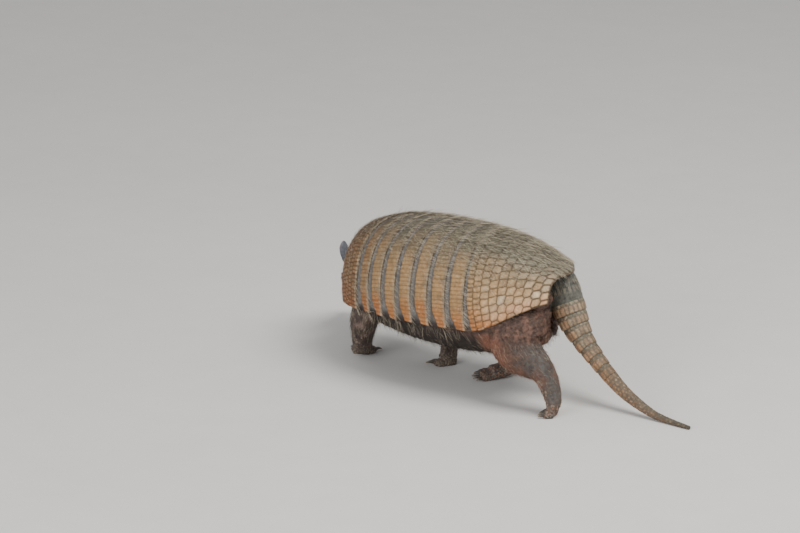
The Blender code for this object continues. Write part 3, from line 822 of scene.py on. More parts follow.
def build_bands(shell, finish):
    for number in range(1, BAND_COUNT + 1):
        first = FIRST_BAND + (number - 1) * BAND_PITCH
        outer, inner = shell_sheet(
            lambda share: first - top_reach(share) + band_corner(share) + 0.0052 * tip_share(share),
            lambda share: first + BAND_LENGTH + band_corner(share),
            2.0 * BAND_STEP)
        start = first / PELVIC_TOP_END
        tones = shell_tones(shell, start, start + 0.04, 3 + number, 0.4)
        node = f"shell_band_{number}"
        armour(f"{node}_scutes", outer, inner, [(0.5, shell.band_scutes, 0.0)], shell, tones, finish, node,
               jitter=0.12, seed=3.0 + number, rim=0.0014, tuck=0.0027, relief=0.5)


def build_pelvic(shell, finish):
    outer, inner = shell_sheet(
        lambda share: PELVIC_START - 0.0014 - top_reach(share) + BAND_CORNER * corner_share(share),
        lambda share: PELVIC_SIDE_END + (PELVIC_TOP_END - PELVIC_SIDE_END) * np.sin(math.pi * share) ** 4,
        BAND_STEP)
    counts = (56, 41, 32, 27, 24, 22, 20, 18, 17, 16)
    ends = np.cumsum((0.0, 0.8, 0.95, 1.0, 1.0, 1.0, 1.0, 1.0, 1.0, 1.0, 0.9))
    rows = []
    for row, count in enumerate(counts):
        middle = 0.5 * (ends[row] + ends[row + 1]) / ends[-1]
        rows.append((middle, count, 0.5 * (row % 2)))
    armour("shell_pelvic_scutes", outer, inner, rows, shell, shell_tones(shell, 0.7, 1.0, 12), finish,
           "shell_pelvic", jitter=0.2, seed=12.0, rim=0.0015, tuck=0.0016)


# ---- head
def head_axes():
    """Forwards, left and up in the head's frame, and the back of the skull."""
    level = np.array((-math.cos(HEAD_TURN), math.sin(HEAD_TURN), 0.0))
    forward = level * math.cos(HEAD_DROP) - UP * math.sin(HEAD_DROP)
    left = left_of(-level)
    return forward, left, np.cross(forward, left), place(HEAD_STATION, 0.0, HEAD_HEIGHT)


HEAD_FORWARD, HEAD_LEFT, HEAD_UP, HEAD_ORIGIN = head_axes()


def head_place(ahead, aside, over):
    ahead, aside, over = (np.asarray(value, float)[..., None] for value in (ahead, aside, over))
    return HEAD_ORIGIN + HEAD_FORWARD * ahead + HEAD_LEFT * aside + HEAD_UP * over


def head_point(ahead, angle, grow=0.0):
    """A point of the head's surface."""
    ahead, angle = np.broadcast_arrays(np.asarray(ahead, float), np.asarray(angle, float))
    width = between(HEAD, ahead, 1) + grow
    height = np.where(np.sin(angle) >= 0.0, between(HEAD, ahead, 2), between(HEAD, ahead, 3)) + grow
    across, up = power_curve(angle, width, height, HEAD_POWER)
    return head_place(ahead, across, up)


def build_head_shield(shell, finish):
    rows, columns = 96, 84
    across = np.linspace(0.0, 1.0, columns + 1)[None, :]
    part = np.linspace(0.0, 1.0, rows + 1)[:, None]
    start = HEAD_PLATE_START + HEAD_PLATE_EAR_ROOM * (2.0 * across - 1.0) ** 2
    end = HEAD_PLATE_END - 0.01 * (1.0 - np.sin(math.pi * across))
    ahead = start + (end - start) * part
    edge = np.radians(40.0 + 22.0 * (ahead / HEAD_PLATE_END) ** 2)
    angle = edge + (math.pi - 2.0 * edge) * across
    outer = head_point(ahead, angle, GAP + HEAD_PLATE)
    inner = head_point(ahead, angle, GAP)
    counts = (7, 6, 7, 6, 6, 5, 4, 3, 2, 2)
    scute_rows = [((row + 0.5) / len(counts), count, 0.5 * (row % 2)) for row, count in enumerate(counts)]
    tan, grey, cream, dirt = colours(shell, "tan", "grey", "cream", "dirt")

    def tones(points, number, edge, across, part, rear):
        tone = mixed(tan * (0.72, 0.66, 0.62), grey, 0.35 + 0.3 * waves(points, 0.02, 21))
        tone = tone * (0.75 + 0.45 * chance(number, 4.4))[..., None]
        tone = mixed(tone, cream, 0.35 * fall(0.0, 0.1, np.minimum(across, 1.0 - across)))
        return mixed(tone, dirt, 0.88 * fall(0.0002, 0.001, edge))

    armour("head_shield_scutes", outer, inner, scute_rows, shell, tones, finish, "head_shield",
           jitter=0.55, seed=31.0, rim=0.001)


def build_nuchal(shell, finish):
    """The short band of scutes on the neck, between the head shield and the shell."""
    rows, columns = 12, 66
    part = np.linspace(0.0, 1.0, rows + 1)[:, None]
    angle = np.linspace(math.radians(28.0), math.radians(152.0), columns + 1)[None, :]
    across = np.linspace(-1.0, 1.0, columns + 1)[None, :]
    reach = 1.0 - 0.65 * np.abs(across) ** 4
    ahead = 0.56 + 0.19 * (part - 0.5) * reach
    outer = neck_point(ahead, angle, 0.0013 - 0.0006 * (1.0 - part) - 0.0012 * np.abs(across) ** 6)
    inner = neck_point(ahead, angle, -0.0016)

    def tones(points, number, edge, across, part, rear):
        high = 0.2 + 0.6 * (1.0 - np.abs(2.0 * across - 1.0))
        return shell_colour(shell, points, number, edge, high, np.full_like(part, 0.05), rear, 41)

    armour("nuchal_scutes", outer, inner, [(0.5, 10, 0.0)], shell, tones, finish, None,
           jitter=0.15, seed=41.0, rim=0.0008)


# ---- paths of the flesh
def leg_path(name, steps=8):
    rows = [(*place(*row[:3]), *row[3:]) for row in LEGS[name]]
    return smooth_path(rows, steps)


def toe_lines(name):
    """For each toe: its root, its end, its direction and its claw's share of the full size."""
    heading, toe_length, toe_radius = FEET[name][:3]
    forward = np.array((-math.cos(heading), math.sin(heading), 0.0))
    side = left_of(-forward)
    tip = leg_path(name)[-1, :3]
    lines = []
    for step in TOE_SPREAD:
        turn = step * TOE_FAN
        length = toe_length * (1.0 - 0.07 * step * step)
        level = forward * math.cos(turn) + side * math.sin(turn)
        root = tip + side * (step * TOE_STEP * 0.8) - level * 0.004
        end = root + level * (length + 0.008)
        root[2] = 0.95 * toe_radius
        end[2] = 0.82 * toe_radius
        lines.append((root, end, unit(end - root), 1.0 - 0.08 * abs(step - 0.5)))
    return side, toe_radius, lines


def line_at(rows, where, step):
    """The middle of a line and its direction, from rows of distance, x, y and z."""
    middle, ahead, behind = (np.stack([between(rows, where + shift, column) for column in (1, 2, 3)], -1)
                             for shift in (0.0, step, -step))
    return middle, unit(ahead - behind)


def neck_point(part, angle, grow=0.0):
    """A point of the neck, from the trunk at part 0 to the skull at part 1."""
    part, angle = np.broadcast_arrays(np.asarray(part, float), np.asarray(angle, float))
    rows = (
        (0.0, *(spine(0.012) + 0.036 * UP), 0.04, 0.034),
        (0.5, *(spine(-0.014) + 0.03 * UP), 0.034, 0.029),
        (1.0, *head_place(0.01, 0.0, -0.003), 0.024, 0.018),
    )
    centre, along = line_at(rows, part, 0.02)
    side = left_of(backward(-0.02))
    across = unit(side - along * (along @ side)[..., None])
    over = np.cross(along, across)
    wide, deep = power_curve(angle, between(rows, part, 4) + grow, between(rows, part, 5) + grow, 2.2)
    return centre + across * wide[..., None] + over * deep[..., None]


def tail_rows():
    """The tail's smooth path, each row with its distance from the root."""
    shifted = [(row[0] + MIDDLE_PLACE[0], row[1] + MIDDLE_PLACE[1], row[2], row[3]) for row in TAIL]
    path = smooth_path(shifted, 6)
    return np.column_stack([steps_along(path[:, :3], 0), path])


TAIL_ROWS = tail_rows()
TAIL_LENGTH = TAIL_ROWS[-1, 0]


def tail_point(where, angle, swell=0.0):
    """A point of the tail at a distance from its root; angle pi / 2 is on top."""
    where, angle = np.broadcast_arrays(np.asarray(where, float), np.asarray(angle, float))
    centre, along = line_at(TAIL_ROWS, where, 0.002)
    side = unit(np.cross(along, UP))
    over = np.cross(side, along)
    radius = between(TAIL_ROWS, where, 4) + swell
    return centre + side * (radius * np.cos(angle))[..., None] + over * (radius * np.sin(angle))[..., None]


def along_limb(points, path):
    """Where points lie on a limb: their share along it, distance in radii, its middle and its run there."""
    nearest = np.full(len(points), 1e9)
    row_of = np.zeros(len(points), int)
    for index, row in enumerate(path):
        distance = np.linalg.norm(points - row[:3], axis=1) / (0.5 * (row[3] + row[4]))
        closer = distance < nearest
        nearest = np.where(closer, distance, nearest)
        row_of = np.where(closer, index, row_of)
    run = unit(np.gradient(path[:, :3], axis=0))
    return row_of / (len(path) - 1), nearest, path[row_of, :3], run[row_of]


# ---- the skin
def drawn_in(rings, station, height, past, least):
    """Sections drawn in towards a point at a height in each, by how far each is past a rounded end."""
    share = np.sqrt(np.maximum(1.0 - past * past, least))
    tailward = backward(station[:, 0])
    centre = spine(station[:, 0]) + np.cross(left_of(tailward), tailward) * height
    return centre[:, None] + (rings - centre[:, None]) * share[..., None]


def trunk_rings(rings, upper, lower):
    """Sections of the trunk, rounding off at both ends."""
    bow = np.sin(np.linspace(-0.497, 0.5, rings) * math.pi)
    station = 0.5 * (TRUNK_FRONT + TRUNK_REAR) + 0.5 * (TRUNK_REAR - TRUNK_FRONT) * bow
    station = station[:, None]
    edge = margin_angle(station)
    over = edge + (math.pi - 2.0 * edge) * np.linspace(0.0, 1.0, upper)[None, :]
    under = math.pi - edge + (math.pi + 2.0 * edge) * np.linspace(0.0, 1.0, lower + 2)[None, 1:-1]
    angle = np.concatenate([over, under], 1)
    front = (TRUNK_FRONT + TRUNK_FRONT_ROUND - station) / TRUNK_FRONT_ROUND
    rear = (station - TRUNK_REAR + TRUNK_REAR_ROUND) / TRUNK_REAR_ROUND
    past = np.maximum(np.maximum(front, rear), 0.0)
    ring = section_point(station, angle, TRUNK_DEPTH, BELLY_INSET)
    return drawn_in(ring, station, 0.45 * between(SECTIONS, station, 2), past, 0.0004)


def collar_rings():
    """The fold of skin that closes the shell's front opening, just behind its rim."""
    station = np.linspace(0.0045, 0.05, 24)[:, None]
    angle = turns(100)[None, :]
    ring = section_point(station, angle, PLATE + 0.0004, 0.0105)
    return drawn_in(ring, station, 0.036, np.clip((0.0205 - station) / 0.0165, 0.0, 1.0), 0.02)


def rump_folds():
    """Folds of loose skin between the thighs, the pelvic shield's rear margin and the tail's root."""
    folds = []
    for sign in SIDES:
        for start, bend, finish, radius in (
            ((0.262, 0.058, 0.112), (0.282, 0.043, 0.106), (0.291, 0.022, 0.112), 0.0085),
            ((0.262, 0.05, 0.098), (0.282, 0.034, 0.092), (0.286, 0.012, 0.096), 0.0095),
            ((0.262, 0.04, 0.086), (0.28, 0.022, 0.078), (0.284, 0.002, 0.082), 0.01),
            ((0.264, 0.06, 0.124), (0.282, 0.044, 0.124), (0.292, 0.022, 0.131), 0.0088),
        ):
            rows = [(*place(station, sign * lateral, height), size * radius, size * radius)
                    for (station, lateral, height), size in ((start, 0.8), (bend, 1.0), (finish, 0.8))]
            folds.append(tube_rings(smooth_path(rows, 8), UP, 20))
    return folds


def ball_rings(centre, axis, radius, reach=1.0):
    """Rings of a ball, drawn out along an axis by reach."""
    angle = np.linspace(0.05, math.pi - 0.05, 9)
    side = unit(np.cross(axis, (0.31, 0.17, 0.93)))
    over = np.cross(axis, side)
    turn = turns(12)
    rings = []
    for step in angle:
        middle = centre - axis * (radius * reach * math.cos(step))
        size = radius * math.sin(step)
        rings.append(middle + size * (np.cos(turn)[:, None] * side + np.sin(turn)[:, None] * over))
    return rings


def ear_axes(sign):
    """The root of an ear, its directions to the tip, across it and out of its hollow side."""
    outward = HEAD_LEFT * sign
    along = unit(HEAD_UP * 0.8 + outward * 0.34 - HEAD_FORWARD * 0.46)
    facing = HEAD_FORWARD * 0.8 + outward * 0.5
    facing = unit(facing - along * (facing @ along))
    return head_place(EAR_PLACE[0], sign * EAR_PLACE[1], EAR_PLACE[2]), along, np.cross(along, facing), facing


def ear_rings(sign):
    """Rings round the cupped leaf of an ear, from its root to its rounded tip."""
    root, along, across, facing = ear_axes(sign)
    rings = []
    for part in np.linspace(-0.16, 0.995, 30):
        inside = max(part, 0.0)
        tip = (1.0 - min(1.0, max(0.0, (inside - 0.48) / 0.52)) ** 2.5) ** 0.58
        swell = (0.66 + 0.34 * float(rise(0.0, 0.42, inside))) * tip
        width = (EAR_WIDTH - 0.0004) * swell
        cup = EAR_CUP * (1.0 - 0.6 * inside)
        aside = np.sin(np.linspace(-0.5, 0.5, 17) * math.pi)
        thick = (0.001 + 0.0012 * (1.0 - inside)) * np.sqrt(1.0 - aside**2) + 0.0012
        wave = 0.0006 * math.sin(9.0 * part + sign) * aside**2
        middle = root + along * (EAR_LENGTH * part) + across * (width * aside)[:, None]
        middle = middle + facing * (cup * aside**2 * swell - 0.0008 + wave)[:, None]
        front = middle + facing * (0.5 * thick)[:, None]
        back = middle - facing * (0.5 * thick)[:, None]
        rings.append(np.vstack([front, back[::-1]]))
    return rings


def eye_axes(sign):
    """The middle of an eye, its direction out of the head, forwards and up across its opening."""
    ahead, aside, over = EYE_PLACE
    outward = unit(HEAD_FORWARD * 0.24 + HEAD_LEFT * sign + HEAD_UP * 0.24)
    along = unit(HEAD_FORWARD - outward * (HEAD_FORWARD @ outward))
    return head_place(ahead, sign * aside, over), outward, along, np.cross(outward, along) * -sign


def opened_eyes(points):
    """Points of the head's skin with those in front of the eyeballs sunk behind them."""
    for sign in SIDES:
        centre, outward, along, upward = eye_axes(sign)
        offset = points - centre
        distance = np.linalg.norm(offset, axis=1)
        heading = offset / np.maximum(distance, 1e-6)[:, None]
        opening = np.hypot(heading @ along / LID_HALF[0], heading @ upward / LID_HALF[1])
        inside = fall(0.95, 1.1, opening) * (heading @ outward > 0.0) * (distance < 0.009)
        scale = 1.0 + inside * ((EYE_RADIUS - 0.0014) / np.maximum(distance, 1e-6) - 1.0)
        points = centre + offset * scale[:, None]
    return points


def lid_roll(sign):
    """The rim of the lids round an eye: an almond-shaped roll that lies on the eyeball."""
    centre, outward, along, upward = eye_axes(sign)
    rounds, sides = 56, 14
    turn = turns(sides)
    points = []
    for angle in turns(rounds):
        flat = LID_HALF[0] * 1.02 * math.cos(angle)
        tall = LID_HALF[1] * 1.02 * math.sin(angle) * (1.0 - 0.3 * math.cos(angle) ** 2)
        heading = unit(along * flat + upward * tall + outward * math.sqrt(1.0 - flat**2 - tall**2))
        middle = centre + heading * (EYE_RADIUS + 0.00045)
        outside = unit(along * flat + upward * tall)
        outside = unit(outside - heading * (outside @ heading))
        thick = 0.0007 + 0.0003 * max(0.0, math.sin(angle))
        ring = 1.25 * np.cos(turn)[:, None] * outside + np.sin(turn)[:, None] * heading
        points.append(middle + thick * ring)
    starts = [ring * sides for ring in range(rounds)]
    faces = [face for near, far in zip(starts, starts[1:] + starts[:1])
             for face in ring_faces(near, far, sides)]
    mesh = mesh_from("lid_roll", np.vstack(points), faces)
    turn_out(mesh)
    return mesh


def body_surface():
    """The trunk, legs, toes and the core of the tail as one closed surface."""
    bodies = Bodies()
    bodies.add(trunk_rings(110, 72, 44))
    bodies.add(collar_rings())
    for rings in rump_folds():
        bodies.add(rings)
    for name in LEGS:
        side, toe_radius, lines = toe_lines(name)
        bodies.add(tube_rings(leg_path(name) - (0.0, 0.0, 0.0, COAT_DEPTH, COAT_DEPTH), side, 40, 2.2))
        for root, end, along, _ in lines:
            rows = [(*root, 0.9 * toe_radius, 1.1 * toe_radius),
                    (*(0.4 * root + 0.6 * end), toe_radius, toe_radius),
                    (*(0.05 * root + 0.95 * end), 0.9 * toe_radius, 0.9 * toe_radius),
                    (*(end + 0.0006 * along), 0.6 * toe_radius, 0.6 * toe_radius)]
            bodies.add(tube_rings(smooth_path(rows, 4), side, 16))
    core_length = TAIL_BASE_LENGTH + TAIL_RING_COUNT * TAIL_RING_PITCH + 0.004
    bodies.add(tail_point(np.linspace(0.0, core_length, 90)[:, None], turns(40)[None, :], -0.001))
    return bodies.fuse("body_surface", BODY_VOXEL, 6)


def head_surface():
    """The head with its cheeks, brows, eye bulges and ears, and the neck, as one closed surface."""
    bodies = Bodies()
    turn = turns(72)[None, :]
    bodies.add(head_point(np.linspace(HEAD[0][0], HEAD[-1][0], 100)[:, None], turn))
    bodies.add(neck_point(np.linspace(-0.25, 1.0, 60)[:, None], turn))
    bodies.add(ball_rings(head_place(0.1055, 0.0, -0.0006), HEAD_FORWARD, 0.0066, 0.5))
    for sign in SIDES:
        bodies.add(ear_rings(sign))
        centre, outward, _, _ = eye_axes(sign)
        bodies.add(ball_rings(centre - outward * 0.0006, outward, EYE_RADIUS + 0.0011))
        bodies.add(ball_rings(head_place(0.024, sign * 0.024, -0.008), HEAD_FORWARD, 0.0105, 1.7))
        bodies.add(ball_rings(head_place(0.049, sign * 0.0215, 0.0105), HEAD_FORWARD, 0.0048, 1.8))
    return bodies.fuse("head_surface", HEAD_VOXEL, 5)


def united(first, second):
    """One closed surface round two closed surfaces."""
    holder, other = linked("united", first), linked("other", second)
    union = holder.modifiers.new("unite", "BOOLEAN")
    union.operation = "UNION"
    union.solver = "MANIFOLD"
    union.object = other
    mesh = applied(holder)
    bpy.data.objects.remove(other, do_unlink=True)
    return mesh


def thinned(mesh, triangles):
    """A mesh with no more than a number of triangles, fewest where it is flat."""
    mesh.calc_loop_triangles()
    holder = linked("thinned", mesh)
    fewer = holder.modifiers.new("fewer", "DECIMATE")
    fewer.ratio = min(1.0, triangles / len(mesh.loop_triangles))
    return applied(holder)


class Anatomy:
    """Where points of the skin lie: their place along the trunk, head, tail and each leg."""

    def __init__(self, points):
        self.station, self.lateral, self.over = body_place(points)
        offset = points - HEAD_ORIGIN
        self.ahead, self.aside, self.above = offset @ HEAD_FORWARD, offset @ HEAD_LEFT, offset @ HEAD_UP
        tail_path = TAIL_ROWS[:, [1, 2, 3, 4, 4]]
        self.tail_share, tail_near, tail_middle, self.tail_run = along_limb(points, tail_path)
        out_of_tail = points - tail_middle
        tail_side = unit(np.cross(self.tail_run, UP))
        tail_over = np.cross(tail_side, self.tail_run)
        self.tail_turn = np.arctan2((out_of_tail * tail_side).sum(-1), (out_of_tail * tail_over).sum(-1))
        self.tail = fall(1.02, 1.12 + 0.15 * (self.tail_share < 0.05), tail_near)
        self.height = points[:, 2]
        self.legs = {}
        for name in LEGS:
            share, near, middle, run = along_limb(points, leg_path(name, 5))
            on_leg = fall(1.3, np.where(self.height < 0.034, 2.6, 1.75), near)
            outside = fall(-0.012, -0.002, self.over)
            fore = ((points - middle) * (-backward(MIDDLE_STATION))).sum(-1)
            self.legs[name] = (share, on_leg * outside * (1.0 - self.tail), fore, run)
        self.head = rise(-0.006, 0.002, self.ahead) * (self.station < 0.0)
        self.ear, self.ear_front = np.zeros(len(points)), np.zeros(len(points))
        for sign in SIDES:
            root, along, across, facing = ear_axes(sign)
            offset = points - root
            part, wide, front = offset @ along / EAR_LENGTH, offset @ across / EAR_WIDTH, offset @ facing
            near = rise(0.02, 0.22, part) * fall(1.0, 1.15, part) * (np.abs(wide) < 1.3)
            near = near * fall(0.005, 0.009, np.abs(front))
            self.ear = np.maximum(self.ear, near)
            hollow = EAR_CUP * (1.0 - 0.6 * part) * wide**2 - 0.0008
            inside = near * (front > hollow) * fall(0.5, 0.9, np.abs(wide))
            self.ear_front = np.maximum(self.ear_front, inside)
        edge = margin_angle(self.station)
        self.margin = between(SECTIONS, self.station, 2) * np.sin(edge) ** (2.0 / SECTION_POWER)
        self.any_leg = np.maximum.reduce([leg[1] for leg in self.legs.values()])

    def rump(self, start, end, low, high):
        """1 on the loose skin at the rear, off the tail, coming in between two stations and two heights."""
        return rise(start, end, self.station) * rise(low, high, self.over) * (1.0 - self.tail)

    def unwrap(self):
        """A place on the flattened skin for each point: trunk, head, tail and legs each in its own field."""
        turn = np.arctan2(self.over - 0.03, self.lateral) / (math.tau) + 0.5
        u = 0.03 + 0.94 * np.clip((self.station + 0.02) / 0.36, 0.0, 1.0)
        v = 0.03 + 0.44 * turn
        head_turn = np.arctan2(self.above, self.aside) / (math.tau) + 0.5
        on_head = self.head > 0.5
        u = np.where(on_head, 0.03 + 0.2 * np.clip(self.ahead / 0.11, 0.0, 1.0), u)
        v = np.where(on_head, 0.52 + 0.2 * head_turn, v)
        on_tail = self.tail > 0.5
        u = np.where(on_tail, 0.28 + 0.68 * self.tail_share, u)
        v = np.where(on_tail, 0.52 + 0.1 * turn, v)
        for index, (share, mask, _, _) in enumerate(self.legs.values()):
            on_leg = mask > 0.5
            around = np.arctan2(self.lateral, self.station - 0.15) / (math.tau) + 0.5
            u = np.where(on_leg, 0.03 + 0.24 * index + 0.2 * share, u)
            v = np.where(on_leg, 0.76 + 0.2 * around, v)
        return np.column_stack([u, v])


def skin_colour(skin, points, where):
    """The skin's colour: slate between the bands, dark belly and forelegs, plum thighs, slate soles, with
    painted shade under the band tips, in the rump's creases, along the mouth slit and in the nostrils; the
    belly's dark is partly painted shade.
    """
    dark, slate, plum, ear = colours(skin, "dark", "slate", "plum", "ear")
    cloud = waves(points, 0.018, 51)
    blotch = waves(points, 0.006, 52)
    red = plum * (2.1, 1.55, 1.1)
    # Under the margin the skin takes the dark colour: partly the belly's own dark brown, partly painted shade
    # of the belly under the body.
    tone = mixed(dark, slate, rise(-0.004, 0.006, where.over + 0.003 * cloud))
    # Between the bands, near the shell's lower margin, the skin is painted nearly black: a painted shadow
    # under the band tips.
    bands = rise(SHOULDER_LENGTH - 0.004, SHOULDER_LENGTH, where.station)
    bands = bands * fall(PELVIC_START, PELVIC_START + 0.004, where.station)
    tone = mixed(tone, 0.4 * dark, 0.92 * bands * fall(0.002, 0.01, where.over - where.margin))
    flank = rise(-0.014, -0.002, where.over + 0.004 * cloud) * fall(-0.004, 0.004, where.over)
    tone = mixed(tone, 0.75 * plum, 0.8 * flank * rise(0.14, 0.24, where.station))
    rump = where.rump(0.215, 0.245, -0.016, -0.004)
    shadow = rise(-0.3, 0.8, waves(points, 0.012, 53))
    tone = mixed(tone, mixed(plum * (0.62, 0.62, 0.52), plum * (1.15, 1.1, 0.9), shadow), 0.95 * rump)
    # Painted shade: the rump's creases are darkened where the skin folds in.
    tone = mixed(tone, 0.5 * dark, 0.6 * rise(0.72, 1.0, rump_creases(points)) * rump)
    for name, (share, mask, fore, _) in where.legs.items():
        if name.startswith("hind"):
            rear = fall(-0.01, 0.002, fore + 0.004 * cloud)
            shade = mixed(plum * (1.0, 0.98, 0.8), 0.58 * slate, rear * rise(0.2, 0.42, share))
            shade = mixed(shade, 0.62 * slate, 0.7 * rise(0.62, 0.85, share))
            shade = mixed(shade, red, 0.55 * rise(0.002, 0.014, fore) * fall(0.8, 1.0, share))
            shade = mixed(shade, red, 0.8 * rise(0.004, 0.016, fore) * fall(0.1, 0.3, share))
        else:
            shade = mixed(1.5 * dark, 2.8 * dark, rise(-0.6, 0.9, cloud))
        tone = mixed(tone, shade, mask)
    around = where.tail_turn / (math.tau) + 0.5
    along_tail = where.tail_share * TAIL_LENGTH
    part = np.clip((along_tail - 0.012) / 0.024, 0.0, 1.0)
    rows = [(0.18, 18, 0.0), (0.5, 19, 0.5), (0.82, 20, 0.0)]
    edge, number = scutes(part, around, 0.024, 0.118, rows, 0.25, 55.0)
    base = slate * (0.8, 0.9, 0.86) * (0.92 + 0.25 * chance(number, 56.0))[:, None]
    faint = rise(0.014, 0.03, along_tail) * (0.5 + 0.5 * chance(number, 57.0))
    base = mixed(base, slate * (1.75, 1.55, 1.2), 0.65 * faint * rise(0.0006, 0.002, edge))
    base = base * (1.0 - 0.35 * fall(0.0003, 0.0012, edge) * rise(0.008, 0.016, along_tail))[:, None]
    tail_tone = mixed(base, slate * (0.8, 0.86, 0.78), rise(0.036, 0.038, along_tail))
    tone = mixed(tone, tail_tone, where.tail)
    neck = fall(-0.012, 0.012, where.station) * (1.0 - where.any_leg)
    face = mixed(0.5 * slate + 0.45 * plum, dark * 1.8, rise(0.2, 0.9, cloud) * 0.5)
    tone = mixed(tone, face, neck)
    muzzle = rise(0.07, 0.1, where.ahead) * where.head
    tone = mixed(tone, plum * (1.05, 0.98, 1.05), 0.75 * muzzle)
    # Painted shade: a near-black line along the mouth slit.
    low = between(HEAD, where.ahead, 3)
    mouth_slit_shade = np.exp(-(((where.above - lip_height(where.ahead, low)) / 0.0011) ** 2))
    mouth_slit_shade = mouth_slit_shade * rise(0.052, 0.062, where.ahead) * where.head * rise(0.001, 0.004, np.abs(where.aside))
    tone = mixed(tone, 0.25 * dark, 0.8 * mouth_slit_shade)
    # Painted shade: the nostril pits are painted near-black.
    tone = mixed(tone, 0.15 * dark, np.exp(-((nostril_distance(where) / 0.0016) ** 2)) * where.head)
    round_eye = np.minimum(*(np.linalg.norm(points - eye_axes(sign)[0], axis=1) for sign in SIDES))
    tone = mixed(tone, 0.45 * dark, 0.85 * fall(0.0052, 0.0072, round_eye))
    tone = mixed(tone, ear, where.ear)
    tone = mixed(tone, plum * (1.15, 1.05, 1.2), 0.55 * where.ear_front)
    return tone * (1.0 + 0.16 * blotch + 0.1 * cloud)[:, None]


def skin_height(skin, points, where):
    """How far the skin stands out: ridges between the bands, folds, creases, mouth and nostrils."""
    depth = skin.wrinkle_depth
    phase = (where.station - (SHOULDER_LENGTH + 0.0027)) / BAND_PITCH
    gap = phase - np.round(phase)
    in_bands = rise(-0.3, -0.1, phase) * fall(BAND_COUNT + 0.1, BAND_COUNT + 0.3, phase)
    free = (1.0 - where.tail) * (1.0 - where.any_leg)
    ridge = 0.003 * np.exp(-((gap * BAND_PITCH / 0.0024) ** 2)) * in_bands
    height = ridge * rise(-0.004, 0.004, where.over) * free
    folds = 1.0 - np.abs(waves(points * (1.0, 1.0, 0.55), 0.011, 61))
    rump = where.rump(0.222, 0.25, -0.03, -0.01)
    creased = np.maximum(1.0 - rise(-0.002, 0.004, where.over) * free, rump) * (1.0 - where.ear)
    creased = creased * (1.0 - 0.6 * where.tail)
    height = height - depth * rise(0.7, 1.0, folds) * creased
    height = height - 2.6 * depth * rise(0.62, 1.0, rump_creases(points)) * rump
    height = height + 0.35 * depth * waves(points, 0.0055, 62) * creased
    belly_rows = fall(-0.02, -0.008, where.over)
    height = height + 0.0007 * np.sin(where.station * math.tau / 0.0125) * belly_rows * free
    neck = fall(-0.008, 0.004, where.station) * (1.0 - where.head) * (1.0 - where.ear)
    height = height + 0.0008 * (np.sin(where.ahead * math.tau / 0.0085) - 0.8) * neck
    return height + head_height(where)


def rump_creases(points):
    """1 along the creases of the loose skin under the tail, less away from them."""
    return 1.0 - np.abs(waves(points * (1.0, 1.0, 1.6), 0.0095, 64))


def lip_height(ahead, low):
    """How high the line of the mouth lies in the head's frame."""
    return -0.42 * low - 0.0012 * np.sin(ahead * 60.0)


def nostril_distance(where):
    """The distance to the nearer nostril."""
    aside = np.abs(where.aside) - 0.0034
    return np.hypot(np.hypot((where.ahead - 0.108) / 1.2, aside), where.above + 0.0004)


def head_height(where):
    """Mouth, nostrils and hollows round the eyes."""
    ahead, above = where.ahead, where.above
    aside = np.abs(where.aside)
    lip = lip_height(ahead, between(HEAD, ahead, 3))
    slit = np.exp(-(((above - lip) / 0.0009) ** 2)) * rise(0.052, 0.062, ahead) * fall(0.107, 0.11, ahead)
    height = -0.0013 * slit * where.head * rise(0.001, 0.004, aside)
    height = height - 0.0026 * np.exp(-((nostril_distance(where) / 0.0017) ** 2)) * where.head
    eye_ahead, _, eye_above = EYE_PLACE
    from_eye = np.hypot((ahead - eye_ahead) / 1.5, above - eye_above)
    hollow = np.exp(-(((from_eye - 0.0072) / 0.0022) ** 2)) * rise(0.012, 0.02, aside)
    return height - 0.0008 * hollow * where.head


def build_skin(skin, finish):
    """One skin for every node of flesh."""
    mesh = united(body_surface(), head_surface())
    points = mesh_points(mesh)
    normals = read_vectors(mesh.vertex_normals, "vector")
    points = points + normals * skin_height(skin, points, Anatomy(points))[:, None]
    move_points(mesh, over_floor(opened_eyes(points)))
    mesh = thinned(mesh, SKIN_TRIANGLES)
    for sign in SIDES:
        mesh = united(mesh, lid_roll(sign))
    points = mesh_points(mesh)
    where = Anatomy(points)
    set_colour(mesh, "tone", np.clip(skin_colour(skin, points, where), 0.004, 1.0))
    rump = where.rump(0.215, 0.245, -0.02, -0.006)
    set_value(mesh, "warts", np.maximum.reduce([where.any_leg, 0.35 * where.head, rump, 0.25 * where.ear]))
    flesh = ["trunk", "neck", "head", "ear_left", "ear_right", "tail_base"] + [f"leg_{name}" for name in LEGS]
    return show("skin", mesh, finish, flesh)


# ---- eyes and claws
def build_eyes(finish):
    """Dark eyeballs with a deep brown iris, half under the lids."""
    for side, sign in (("left", LEFT), ("right", RIGHT)):
        centre, outward, _, _ = eye_axes(sign)
        builder = bmesh.new()
        bmesh.ops.create_uvsphere(builder, u_segments=48, v_segments=32, radius=EYE_RADIUS)
        bmesh.ops.translate(builder, vec=Vector(centre), verts=builder.verts)
        mesh = bpy.data.meshes.new(f"eye_{side}_ball")
        builder.to_mesh(mesh)
        builder.free()
        facing = unit(mesh_points(mesh) - centre) @ outward
        iris = mixed((0.03, 0.016, 0.008), (0.004, 0.003, 0.003), rise(0.9, 0.94, facing))
        set_colour(mesh, "tone", mixed((0.012, 0.008, 0.006), iris, rise(0.62, 0.68, facing)))
        show(f"eye_{side}_ball", mesh, finish, [f"eye_{side}"])


